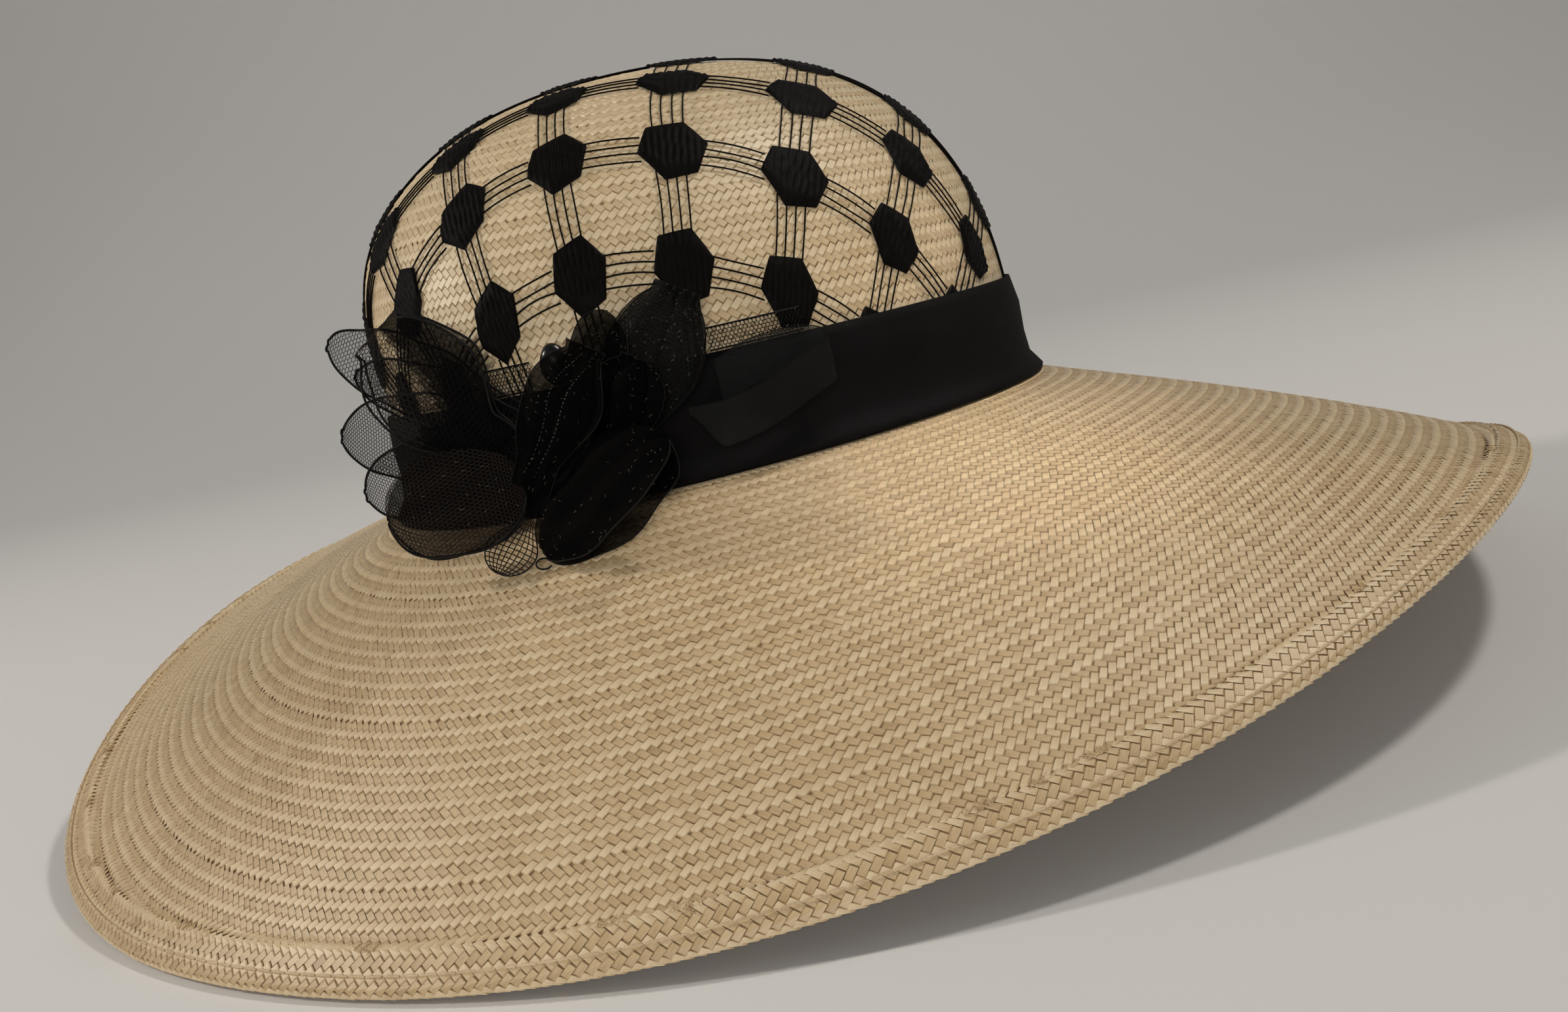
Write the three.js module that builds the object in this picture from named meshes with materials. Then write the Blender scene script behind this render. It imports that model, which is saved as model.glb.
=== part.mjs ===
// A wide-brimmed straw capeline: a woven dome and a drooping brim sewn together at the headline, a net of
// black lace dots over the crown, a ribbon band round the headline and a flower of sheer black loops on it.
// Millimetres, +Z up. The brim's edge stands on z = 0, its centre is the origin, the flower is at the -Y end.

import * as THREE from 'three';
import { mergeGeometries, mergeVertices } from 'three/addons/utils/BufferGeometryUtils.js';

// Crown: an oval dome on the headline, a superellipse in profile that draws in a little at its foot
const CROWN_HALF_WIDTH = 88.2;
const CROWN_HALF_LENGTH = 104.4;
const CROWN_HEIGHT = 97;
const CROWN_ROUNDNESS = 2.5;
const CROWN_PINCH = 0.07;
const CROWN_WALL = 1.5;
const CROWN_SEGMENTS = 56;
const CROWN_ROWS = 10;

// On one side the crown's wall draws in further towards the headline
const TUCK_DEPTH = 9.2;
const TUCK_TURN = THREE.MathUtils.degToRad(37.5);
const TUCK_REACH = { from: 35, to: 88 };
const TUCK_HEIGHT = { from: 12, to: 72 };

// Headline: where it stands over the floor, and how far the crown nods and leans
const HEAD_CENTRE_Y = -16;
const HEAD_HEIGHT = 73.5;
const HEAD_NOD = THREE.MathUtils.degToRad(-1.5);
const HEAD_LEAN = THREE.MathUtils.degToRad(-1.9);

// Brim: round in plan, low at the front and back, lifted at the sides
const BRIM_RADIUS = 202.5;
const BRIM_WALL = 1.4;
const BRIM_BULGE = 3;
const BRIM_SEGMENTS = 64;
const LIFT_RIGHT = 34.3;
const LIFT_LEFT = 41.5;
const LIFT_POWER = 2.63;
const LIFT_SHIFT = 0.15;
const REST_DEPTH = 0.3;
const HEM_THICKNESS = 2.7;
const HEM_NOSE = 1;
const REST_LEDGE = 1.5;
const BRIM_START_OUT = 3;
const BRIM_START_DROP = 4;

// Collar: the brim's upturned edge inside the foot of the crown
const COLLAR_GAP = 0.5;
const COLLAR_WALL = 1.2;
const COLLAR_HEIGHT = 9;
const COLLAR_ROOT_DROP = 3.2;

// Lace: dots on a square net, joined by bundles of threads, laid from the crown's top
const LACE_GAP = 0.5;
const LACE_WALL = 0.8;
const LACE_TURN = THREE.MathUtils.degToRad(38);
const LACE_PITCH_ACROSS = 30.6;
const LACE_PITCH_DOWN = 31;
const LACE_FIRST_X = 17.2;
const LACE_FIRST_Y = -49.8;
const LACE_REACH = 6;
const LACE_LOWEST = 10;
const DOT_WIDTH = 17;
const DOT_HEIGHT = 15.5;
const ARC_STEPS = 120;

// Band: a flat ribbon whose foot spreads over the start of the brim
const BAND_WALL = 1;
const BAND_GAP = 2;
const BAND_TOP = 23.5;
const BAND_BEND = 8;
const BAND_FOOT_ALONG = 0.025;
const BAND_FOOT_GAP = 0.6;
const BAND_ANKLE = { height: 2, out: 1 };
const BAND_SEGMENTS = 56;

// Flower: its middle on the band, and the stiff sheer cloth that its loops are cut from
const FLOWER_TURN = THREE.MathUtils.degToRad(24);
const FLOWER_HEIGHT = 11;
const PETAL_WALL = 0.9;
const PETAL_STEM = 0.3;
const PETAL_WIDEST = 0.58;
const PETAL_TIP = 0.16;
const PETAL_CROWDING = 1.4;
const PETAL_ACROSS = 4;
const PETAL_ALONG = 6;
const LOOP_START = 0.5;
const LOOP_SEAT = 0.35;
const LOOP_FOLD = 0.5;
const LOOP_ALONG = 12;
const BUD_HALF = { width: 3.2, height: 4.8, depth: 2.8 };
const BUD_AT = { x: 0.4, y: 17.8, out: 0.6 };

// Ribbon curl: a loop of ribbon laid along the band beside the flower
const CURL_WIDTH = 10;
const CURL_WALL = 0.8;
const CURL_STEPS = 16;

const HALF_PI = Math.PI / 2;
const TURN = 2 * Math.PI;
const TINY = 1e-4;
const WELD = 0.01;
const NUDGE = 0.01;

// Rows of the brim's wall from its edge to the top of its collar. Where "inset" is given, the row lies that
// far in from the edge. "along" runs from the headline (0) to the edge (1). "above" is the wall's thickness.
const BRIM_ROWS = [
  { inset: 0, above: HEM_NOSE },
  { inset: REST_LEDGE, above: HEM_THICKNESS },
  { inset: 9.5, above: HEM_THICKNESS },
  { inset: 10.6, above: BRIM_WALL },
  { along: 0.68, above: BRIM_WALL },
  { along: 0.36, above: BRIM_WALL },
  { along: 0.06, above: BRIM_WALL },
  { collarHeight: -COLLAR_ROOT_DROP },
  { collarHeight: COLLAR_HEIGHT },
];

// Petals and loops. "seat" and "tip" are [along the band, up, out from it], from the middle of the flower.
// "width" is across the widest part, "bow" lifts the middle of the length, "cup" turns the two sides back,
// "ripple" waves them and "lean" turns the petal about its own length, in degrees. A row with "puff" is a
// strip folded at its tip into a loop, and its two layers swell that far from the middle.
const PETALS = [
  {
    name: 'net_loop_upper', seat: [-7, 6, 0.9], tip: [-52, 33, -4],
    width: 17, bow: 0.5, cup: 0, ripple: 0.5, lean: 0,
  },
  {
    name: 'net_loop_inner', seat: [-7, 5, 2.3], tip: [-46, 25, -1],
    width: 14, bow: 0.5, cup: 0, ripple: 0.5, lean: 0,
  },
  {
    name: 'net_scallop_upper', seat: [-7, 3, 3.7], tip: [-52, 12, 1],
    width: 20, bow: 0.6, cup: 0, ripple: 0.6, lean: 0,
  },
  {
    name: 'net_scallop_lower', seat: [-7, 1, 5.1], tip: [-49, -2, 3],
    width: 19, bow: 0.6, cup: 0, ripple: 0.6, lean: 0,
  },
  {
    name: 'petal_left', seat: [-14, 0, 7.5], tip: [-36, 33, 7.5],
    width: 27, bow: 1.5, cup: 1, ripple: 0.8, lean: 0, puff: 3,
  },
  {
    name: 'petal_bottom', seat: [-9, -6, 12.2], tip: [-40.5, -7.6, 14.8],
    width: 22.8, bow: 1, cup: 0.5, ripple: 0.8, lean: 9.3, puff: 2.4,
  },
  {
    name: 'net_loop_bottom', seat: [-11, -14, 8.4], tip: [-17.5, -23.2, 18.2],
    width: 11.5, bow: 1, cup: 1, ripple: 0, lean: 6,
  },
  {
    name: 'petal_lower_right', seat: [-8.1, -20.7, 15], tip: [25.4, -2.2, 15],
    width: 19.5, bow: 0, cup: 0, ripple: 0.5, lean: -28, puff: 5.5,
  },
  {
    name: 'loop_standing', seat: [10, -5, 2.1], tip: [31, 28.5, -1.5],
    width: 22, bow: 0.6, cup: 0, ripple: 0.5, lean: 0, puff: 2,
  },
  {
    name: 'petal_upper', seat: [5, 3, 3.8], tip: [15, 27, 3.8],
    width: 14, bow: 0.6, cup: 0, ripple: 0.5, lean: 0,
  },
  {
    name: 'fold_right', seat: [7, -4, 5], tip: [21, 15, 6.4],
    width: 18, bow: 1, cup: 0, ripple: 1, lean: 0,
  },
  {
    name: 'fold_centre', seat: [-8, -7, 14], tip: [9, 20, 11],
    width: 20, bow: 2, cup: 0, ripple: 2, lean: 0,
  },
];

// Strips of net that show above the band, from one side angle to the other
const NET_STRIPS = [
  { name: 'net_strip_left', from: 12, to: 20, height: 6 },
  { name: 'net_strip_right', from: 46, to: 60, height: 5 },
];
const NET_STRIP_OUT = 1.8;
const NET_STRIP_WALL = 0.8;
const NET_STRIP_GAP = 0.5;
const NET_STRIP_STEPS = 6;

// The ribbon curl's line: the angle round the crown in degrees, the height of its middle and its distance out
const CURL_ROWS = [
  { angle: 41, height: 9, out: 6 },
  { angle: 45, height: 8, out: 8.2 },
  { angle: 51, height: 10, out: 8.8 },
  { angle: 57.5, height: 14, out: 8.2 },
  { angle: 62, height: 17, out: 6.7 },
  { angle: 59.5, height: 20, out: 4 },
  { angle: 52, height: 20, out: 4 },
  { angle: 46, height: 17, out: 4 },
];

// Finishes
const STRAW = { color: 0xcfb283, roughness: 0.55, metalness: 0 };
const LACE = { color: 0x14100f, roughness: 0.8, metalness: 0 };
const RIBBON = { color: 0x08080a, roughness: 0.85, metalness: 0 };
const ORGANZA = { color: 0x131215, roughness: 0.6, metalness: 0 };
const NET = { color: 0x1a1714, roughness: 0.7, metalness: 0 };
const SATIN = { color: 0x050506, roughness: 0.25, metalness: 0 };

// A named mesh with its own material
function piece(name, geometry, finish) {
  const mesh = new THREE.Mesh(geometry, new THREE.MeshStandardMaterial(finish));
  mesh.name = name;
  return mesh;
}

// A flat sheet of unit width and height, welded round a ring, and to a point at its top where that is asked
function flatSheet(across, along, { ring = false, pointed = false } = {}) {
  const sheet = new THREE.PlaneGeometry(1, 1, across, along).translate(0.5, 0.5, 0);
  const position = sheet.attributes.position;
  for (let i = 0; i < position.count; i += 1) {
    const seam = ring && position.getX(i) > 1 - TINY;
    const tip = pointed && position.getY(i) > 1 - TINY;
    if (seam || tip) position.setX(i, 0);
  }
  return sheet;
}

// Weld a flat sheet, place its two sides and close them with a wall along each free edge
function thicken(sheet, place) {
  const flat = sheet.clone();
  flat.deleteAttribute('normal');
  flat.deleteAttribute('uv');
  const welded = mergeVertices(flat, WELD);
  const count = welded.attributes.position.count;
  const vertices = [];
  for (const side of [1, -1]) {
    for (let i = 0; i < count; i += 1) {
      const x = welded.attributes.position.getX(i);
      const y = welded.attributes.position.getY(i);
      vertices.push(...place(x, y, side).toArray());
    }
  }
  const faces = [];
  const edges = new Map();
  const index = welded.index.array;
  for (let i = 0; i < index.length; i += 3) {
    const [a, b, c] = [index[i], index[i + 1], index[i + 2]];
    if (a === b || b === c || c === a) continue;
    faces.push(a, b, c, a + count, c + count, b + count);
    for (const [from, to] of [[a, b], [b, c], [c, a]]) edges.set(`${from},${to}`, [from, to]);
  }
  for (const [from, to] of edges.values()) {
    if (edges.has(`${to},${from}`)) continue;
    faces.push(to, from, from + count, to, from + count, to + count);
  }
  const solid = new THREE.BufferGeometry();
  solid.setAttribute('position', new THREE.Float32BufferAttribute(vertices, 3));
  solid.setIndex(faces);
  solid.computeVertexNormals();
  return solid;
}

// The crown's outer face: "angle" runs round from the -Y end, "rise" is a quarter turn from foot to top
function crownFace(angle, rise) {
  const height = Math.sin(rise) ** (2 / CROWN_ROUNDNESS);
  const spread = Math.cos(rise) ** (2 / CROWN_ROUNDNESS) * (1 - CROWN_PINCH * (1 - height));
  const point = new THREE.Vector3(
    CROWN_HALF_WIDTH * spread * Math.sin(angle),
    -CROWN_HALF_LENGTH * spread * Math.cos(angle),
    CROWN_HEIGHT * height,
  );
  const inward = new THREE.Vector3(Math.cos(TUCK_TURN), Math.sin(TUCK_TURN), 0);
  const side = THREE.MathUtils.smoothstep(-point.dot(inward), TUCK_REACH.from, TUCK_REACH.to);
  const fade = 1 - THREE.MathUtils.smoothstep(point.z, TUCK_HEIGHT.from, TUCK_HEIGHT.to);
  return point.addScaledVector(inward, TUCK_DEPTH * side * fade);
}

// A point at a distance off the crown's face, square to it
function offCrown(angle, rise, distance) {
  const point = crownFace(angle, rise);
  if (rise > HALF_PI - TINY) return point.setZ(CROWN_HEIGHT + distance);
  const round = crownFace(angle + TINY, rise).sub(crownFace(angle - TINY, rise));
  const upward = crownFace(angle, rise + TINY).sub(crownFace(angle, Math.max(rise - TINY, 0)));
  return point.addScaledVector(round.cross(upward).normalize(), distance);
}

// The rise at which the crown has a height
function riseAt(height) {
  return Math.asin((height / CROWN_HEIGHT) ** (CROWN_ROUNDNESS / 2));
}

// A point beside the crown's foot, level with the headline or below it
function offHeadline(angle, height, distance) {
  const foot = crownFace(angle, 0);
  const outward = new THREE.Vector3(foot.x / CROWN_HALF_WIDTH ** 2, foot.y / CROWN_HALF_LENGTH ** 2, 0);
  return foot.addScaledVector(outward.normalize(), distance).setZ(height);
}

// The brim's edge where it meets the floor, or is lifted off it
function brimEdge(angle) {
  const swing = Math.abs(Math.sin(angle - LIFT_SHIFT * Math.sin(angle))) ** LIFT_POWER;
  const lift = swing * (Math.sin(angle) > 0 ? LIFT_RIGHT : LIFT_LEFT) - REST_DEPTH;
  return new THREE.Vector3(BRIM_RADIUS * Math.sin(angle), -BRIM_RADIUS * Math.cos(angle), Math.max(lift, 0));
}

// The frame of the head: the crown, its lace, the band and the flower sit in it
const head = new THREE.Group();
head.position.set(0, HEAD_CENTRE_Y, HEAD_HEIGHT);
head.rotation.set(HEAD_NOD, HEAD_LEAN, 0, 'YXZ');
head.updateMatrixWorld(true);

// The lower side of the brim's slope, from the headline (0) to the edge (1)
function brimSlope(angle, along) {
  const start = head.localToWorld(offHeadline(angle, -BRIM_START_DROP, BRIM_START_OUT));
  const point = start.lerp(brimEdge(angle), along);
  point.z += BRIM_BULGE * 4 * along * (1 - along);
  return point;
}

// The way up, square to the brim's slope
function brimUp(angle, along) {
  const round = brimSlope(angle + TINY, along).sub(brimSlope(angle - TINY, along));
  const inward = brimSlope(angle, along - TINY).sub(brimSlope(angle, along + TINY));
  return round.cross(inward).normalize();
}

// A point of the brim's wall, on its upper side or its lower one
function brimPoint(angle, row, side) {
  if (row.collarHeight !== undefined) {
    const outer = -CROWN_WALL - COLLAR_GAP;
    return head.localToWorld(offHeadline(angle, row.collarHeight, side > 0 ? outer : outer - COLLAR_WALL));
  }
  const width = brimSlope(angle, 0).distanceTo(brimEdge(angle));
  const along = row.along ?? 1 - row.inset / width;
  const point = brimSlope(angle, along);
  if (side > 0) return point.addScaledVector(brimUp(angle, along), row.above);
  if (row.inset === REST_LEDGE) {
    const edge = brimEdge(angle);
    const inward = new THREE.Vector3(-edge.x, -edge.y, 0).normalize();
    return edge.addScaledVector(inward, REST_LEDGE);
  }
  return point;
}

function makeBrim() {
  const rows = BRIM_ROWS.length - 1;
  const sheet = flatSheet(BRIM_SEGMENTS, rows, { ring: true });
  return thicken(sheet, (x, y, side) => brimPoint(x * TURN, BRIM_ROWS[Math.round(y * rows)], side));
}

function makeCrown() {
  const sheet = flatSheet(CROWN_SEGMENTS, CROWN_ROWS, { ring: true, pointed: true });
  return thicken(sheet, (x, y, side) => offCrown(x * TURN, y * HALF_PI, side > 0 ? 0 : -CROWN_WALL));
}

// Where a point of the flat lace lands on the crown: its distance from the middle is kept along the dome
function laceOnCrown(x, y, distance) {
  const angle = Math.atan2(x, -y);
  const reach = Math.hypot(x, y);
  let walked = 0;
  let last = crownFace(angle, HALF_PI);
  for (let i = 1; i <= ARC_STEPS; i += 1) {
    const next = crownFace(angle, HALF_PI * (1 - i / ARC_STEPS));
    const step = next.distanceTo(last);
    if (walked + step >= reach) {
      const share = (reach - walked) / step;
      return offCrown(angle, HALF_PI * (1 - (i - 1 + share) / ARC_STEPS), distance);
    }
    walked += step;
    last = next;
  }
  return offCrown(angle, 0, distance);
}

// The dots that lie above the band's foot, and the links between neighbours, as one flat net
function makeLace() {
  const corner = { near: Math.sin(Math.PI / 8), far: Math.cos(Math.PI / 8) };
  const dotScale = { x: DOT_WIDTH / 2 / corner.far, y: DOT_HEIGHT / 2 / corner.far };
  const across = new THREE.Vector2(LACE_PITCH_ACROSS, 0).rotateAround(new THREE.Vector2(), LACE_TURN);
  const down = new THREE.Vector2(0, -LACE_PITCH_DOWN).rotateAround(new THREE.Vector2(), LACE_TURN);
  const dots = new Map();
  for (let i = -LACE_REACH; i <= LACE_REACH; i += 1) {
    for (let j = -LACE_REACH; j <= LACE_REACH; j += 1) {
      const at = new THREE.Vector2(LACE_FIRST_X, LACE_FIRST_Y);
      at.addScaledVector(across, i).addScaledVector(down, j);
      if (laceOnCrown(at.x, at.y, 0).z >= LACE_LOWEST) dots.set(`${i},${j}`, { i, j, at });
    }
  }
  const parts = [];
  for (const { i, j, at } of dots.values()) {
    const dot = new THREE.CircleGeometry(1, 8, Math.PI / 8).scale(dotScale.x, dotScale.y, 1);
    parts.push(dot.rotateZ(LACE_TURN).translate(at.x, at.y, 0));
    const links = [
      {
        to: dots.get(`${i + 1},${j}`),
        strip: new THREE.PlaneGeometry(LACE_PITCH_ACROSS - DOT_WIDTH, 2 * corner.near * dotScale.y, 2, 1),
      },
      {
        to: dots.get(`${i},${j + 1}`),
        strip: new THREE.PlaneGeometry(2 * corner.near * dotScale.x, LACE_PITCH_DOWN - DOT_HEIGHT, 1, 2),
      },
    ];
    for (const { to, strip } of links) {
      if (!to) continue;
      const middle = at.clone().add(to.at).multiplyScalar(0.5);
      parts.push(strip.rotateZ(LACE_TURN).translate(middle.x, middle.y, 0));
    }
  }
  const place = (x, y, side) => laceOnCrown(x, y, side > 0 ? LACE_GAP + LACE_WALL : LACE_GAP);
  return thicken(mergeGeometries(parts), place);
}

// The band's wall in four rows: its spread foot over the brim, two bends and its straight top
function bandPoint(angle, row, side) {
  const out = side > 0 ? BAND_GAP + BAND_WALL : BAND_GAP;
  if (row === 0) {
    const over = BRIM_WALL + BAND_FOOT_GAP + (side > 0 ? BAND_WALL : 0);
    const foot = brimSlope(angle, BAND_FOOT_ALONG);
    return head.worldToLocal(foot.addScaledVector(brimUp(angle, BAND_FOOT_ALONG), over));
  }
  if (row === 1) return offHeadline(angle, BAND_ANKLE.height, out + BAND_ANKLE.out);
  return offCrown(angle, riseAt(row === 2 ? BAND_BEND : BAND_TOP), out);
}

function makeBand() {
  const rows = 3;
  const sheet = flatSheet(BAND_SEGMENTS, rows, { ring: true });
  return thicken(sheet, (x, y, side) => bandPoint(x * TURN, Math.round(y * rows), side));
}

// A strip of net that stands on the band's upper edge against the lace
function makeNetStrip({ from, to, height }) {
  const sheet = flatSheet(NET_STRIP_STEPS, 1);
  return thicken(sheet, (x, y, side) => {
    const angle = THREE.MathUtils.degToRad(THREE.MathUtils.lerp(from, to, x));
    const rise = riseAt(BAND_TOP + NET_STRIP_GAP + y * height);
    return offCrown(angle, rise, side > 0 ? NET_STRIP_OUT + NET_STRIP_WALL : NET_STRIP_OUT);
  });
}

// The share of a petal's full width at a share of its length: a narrow seat, a broad middle, a round tip
function petalShare(along) {
  if (along < PETAL_WIDEST) {
    return PETAL_STEM + (1 - PETAL_STEM) * THREE.MathUtils.smoothstep(along, 0, PETAL_WIDEST);
  }
  const past = (along - PETAL_WIDEST) / (1 - PETAL_WIDEST);
  return Math.sqrt(Math.max(1 - past * past, 0));
}

// The line of a petal or loop at a share of its strip: how far it is along the length, and off its middle
function petalLine(row, strip) {
  if (!row.puff) return new THREE.Vector2(1 - (1 - strip) ** PETAL_CROWDING, 0);
  const turn = THREE.MathUtils.lerp(LOOP_START, TURN - LOOP_START, strip);
  const along = (1 - Math.cos(turn)) / 2;
  return new THREE.Vector2(along, -row.puff * Math.sin(turn) * THREE.MathUtils.lerp(LOOP_SEAT, 1, along));
}

function makePetal(row) {
  const seat = new THREE.Vector3(...row.seat);
  const length = new THREE.Vector3(...row.tip).sub(seat);
  const way = length.clone().normalize();
  const sideways = way.clone().cross(new THREE.Vector3(0, 0, 1)).normalize();
  sideways.applyAxisAngle(way, THREE.MathUtils.degToRad(row.lean));
  const face = sideways.clone().cross(way).normalize();
  return thicken(flatSheet(PETAL_ACROSS, row.puff ? LOOP_ALONG : PETAL_ALONG), (x, y, side) => {
    const { x: along, y: off } = petalLine(row, y);
    const step = petalLine(row, Math.min(y + NUDGE, 1)).sub(petalLine(row, Math.max(y - NUDGE, 0)));
    const front = face.clone().multiplyScalar(step.x * length.length()).addScaledVector(way, -step.y);
    const share = Math.max(petalShare(along), row.puff ? LOOP_FOLD : PETAL_TIP);
    const v = 2 * x - 1;
    const wave = row.ripple * v * along * Math.sin(TURN * along + Math.PI * v);
    const lift = row.bow * Math.sin(Math.PI * along) - row.cup * v * v * share + wave;
    return seat.clone()
      .addScaledVector(length, along)
      .addScaledVector(sideways, v * share * row.width / 2)
      .addScaledVector(face, lift + off)
      .addScaledVector(front.normalize(), side * PETAL_WALL / 2);
  });
}

// The ribbon curl follows a smooth line through its rows, with its width upright
function makeCurl() {
  const line = new THREE.CatmullRomCurve3(
    CURL_ROWS.map((row) => new THREE.Vector3(row.angle, row.height, row.out)),
  );
  const bandAt = (at) => offCrown(THREE.MathUtils.degToRad(at.x), riseAt(FLOWER_HEIGHT), at.z);
  return thicken(flatSheet(CURL_STEPS, 1), (x, y, side) => {
    const at = line.getPoint(x);
    const point = bandAt(at);
    const ahead = bandAt(line.getPoint(Math.min(x + NUDGE, 1)));
    const behind = bandAt(line.getPoint(Math.max(x - NUDGE, 0)));
    const way = ahead.sub(behind).setZ(0).normalize();
    const face = way.cross(new THREE.Vector3(0, 0, 1));
    point.addScaledVector(face, side * CURL_WALL / 2);
    return point.setZ(at.y + (y - 0.5) * CURL_WIDTH);
  });
}

function makeBud() {
  const bud = new THREE.SphereGeometry(1, 10, 7).rotateX(HALF_PI);
  bud.scale(BUD_HALF.width, BUD_HALF.height, BUD_HALF.depth).translate(BUD_AT.x, BUD_AT.y, BUD_AT.out);
  bud.deleteAttribute('normal');
  bud.deleteAttribute('uv');
  return mergeVertices(bud, WELD);
}

// The flower's own frame: x along the band, y up and z out from it
function flowerFrame() {
  const rise = riseAt(FLOWER_HEIGHT);
  const outer = BAND_GAP + BAND_WALL;
  const ahead = offCrown(FLOWER_TURN + NUDGE, rise, outer);
  const along = ahead.sub(offCrown(FLOWER_TURN - NUDGE, rise, outer)).setZ(0).normalize();
  const up = new THREE.Vector3(0, 0, 1);
  const frame = new THREE.Group();
  frame.position.copy(offCrown(FLOWER_TURN, rise, outer));
  frame.quaternion.setFromRotationMatrix(new THREE.Matrix4().makeBasis(along, up, along.clone().cross(up)));
  return frame;
}

const flower = flowerFrame();
for (const row of PETALS) {
  const finish = row.name.startsWith('net') ? NET : ORGANZA;
  flower.add(piece(row.name, makePetal(row), finish));
}
flower.add(piece('bud', makeBud(), SATIN));

head.add(piece('crown', makeCrown(), STRAW));
head.add(piece('lace_cover', makeLace(), LACE));
head.add(piece('band', makeBand(), RIBBON));
for (const row of NET_STRIPS) head.add(piece(row.name, makeNetStrip(row), NET));
head.add(piece('ribbon_curl', makeCurl(), ORGANZA));
head.add(flower);

const capeline = new THREE.Group();
capeline.add(piece('brim', makeBrim(), STRAW));
capeline.add(head);

export default capeline;
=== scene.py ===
"""A wide-brimmed straw hat with a lace cover and a sheer flower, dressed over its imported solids.

Sizes are in millimetres in the classes below, and turn into metres where a mesh is made. Angles
round the hat run from its front towards its right, as in the solids.
"""

import logging
import math
from collections.abc import Callable, Sequence
from dataclasses import dataclass, field
from enum import Enum
from functools import cached_property

import bpy
import numpy as np
from mathutils import Matrix

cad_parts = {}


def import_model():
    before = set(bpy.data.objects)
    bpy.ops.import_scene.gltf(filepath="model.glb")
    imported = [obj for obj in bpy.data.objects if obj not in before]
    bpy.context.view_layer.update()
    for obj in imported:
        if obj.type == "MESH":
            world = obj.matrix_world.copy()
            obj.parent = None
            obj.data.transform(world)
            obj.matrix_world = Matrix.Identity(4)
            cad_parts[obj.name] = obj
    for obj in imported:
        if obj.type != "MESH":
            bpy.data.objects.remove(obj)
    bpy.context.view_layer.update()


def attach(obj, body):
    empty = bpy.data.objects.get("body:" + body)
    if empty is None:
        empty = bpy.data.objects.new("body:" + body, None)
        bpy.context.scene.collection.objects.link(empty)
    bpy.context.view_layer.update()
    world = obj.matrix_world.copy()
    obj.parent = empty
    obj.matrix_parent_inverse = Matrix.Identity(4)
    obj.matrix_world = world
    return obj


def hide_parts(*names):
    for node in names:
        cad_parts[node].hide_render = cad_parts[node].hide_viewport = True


MM = 0.001
TURN = 2 * math.pi
NUDGE = 1e-3
UNDER_PLAIT = 0.55
LOG = logging.getLogger("hat")

Triple = tuple[float, float, float]
Tone = np.ndarray | float
Rows = Sequence[tuple[float, int]]
Choice = Callable[[np.ndarray, np.ndarray], np.ndarray]
Surface = Callable[[np.ndarray, np.ndarray], tuple[np.ndarray, np.ndarray]]

# A thread's tone: plain, or high enough for the finish's spark, a pale colour painted on as a glint.
PLAIN_TONE = 0.5
GLINT_TONE = 2.3

# Each float of the plait: places across it with their heights, and places along it with theirs.
FINE_SECTION = ((-1.0, 0.0), (-0.76, 1.0), (1.0, 0.7))
FINE_ENDS = ((-1.0, 0.0), (-0.72, 0.88), (0.66, 1.0), (1.0, 0.0))
PLAIN_SECTION = ((-1.0, 0.6), (1.0, 0.6))
PLAIN_ENDS = ((-1.0, 0.0), (0.0, 1.0), (1.0, 0.0))


class Slot(Enum):
    """The record's material slots."""

    STRAW = "straw"
    LACE = "lace"
    RIBBON = "ribbon"
    SHEER = "sheer_cloth"
    NET = "net"
    SATIN = "satin"


class Held(Enum):
    """How a sheet of cloth is held on the hat."""

    LAID = "laid"
    GATHERED = "gathered"
    FOLDED = "folded"
    STRETCHED = "stretched"


def unit(vectors: np.ndarray) -> np.ndarray:
    """Scale vectors to length one."""
    return vectors / np.maximum(np.linalg.norm(vectors, axis=-1, keepdims=True), 1e-9)


def smoothstep(value: np.ndarray) -> np.ndarray:
    """Ease a share from 0 to 1 at both ends."""
    share = np.clip(value, 0, 1)
    return share * share * (3 - 2 * share)


def grid_faces(rows: int, columns: int, ring: bool = False) -> np.ndarray:
    """Number the quads of a grid of points.

    Args:
        rows: points down the grid.
        columns: points across it.
        ring: whether the last column joins the first one.

    Returns:
        One row of four point numbers for each quad.
    """
    quads = columns if ring else columns - 1
    down, across = np.meshgrid(np.arange(rows - 1), np.arange(quads), indexing="ij")
    first = (down * columns + across).ravel()
    ahead = (down * columns + (across + 1) % columns).ravel()
    return np.stack([first, ahead, ahead + columns, first + columns], -1)


def tubes(
    paths: np.ndarray, normals: np.ndarray, radius: float, sides: int
) -> tuple[np.ndarray, np.ndarray]:
    """Lay a thin round thread along each of several paths.

    Args:
        paths: points of the paths, shaped (paths, points, 3).
        normals: a direction off each path at each point.
        radius: the thread's radius.
        sides: flat sides round the thread.

    Returns:
        The points and the quads of all the threads.
    """
    count, length = paths.shape[:2]
    way = unit(np.gradient(paths, axis=1))
    side = unit(np.cross(way, normals))
    out = np.cross(side, way)
    turn = np.arange(sides) / sides * TURN
    ring = side[:, :, None] * np.cos(turn)[:, None] + out[:, :, None] * np.sin(turn)[:, None]
    points = (paths[:, :, None] + radius * ring).reshape(-1, 3)
    one = grid_faces(length, sides, ring=True)
    faces = (one[None] + (np.arange(count) * length * sides)[:, None, None]).reshape(-1, 4)
    return points, faces


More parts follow.
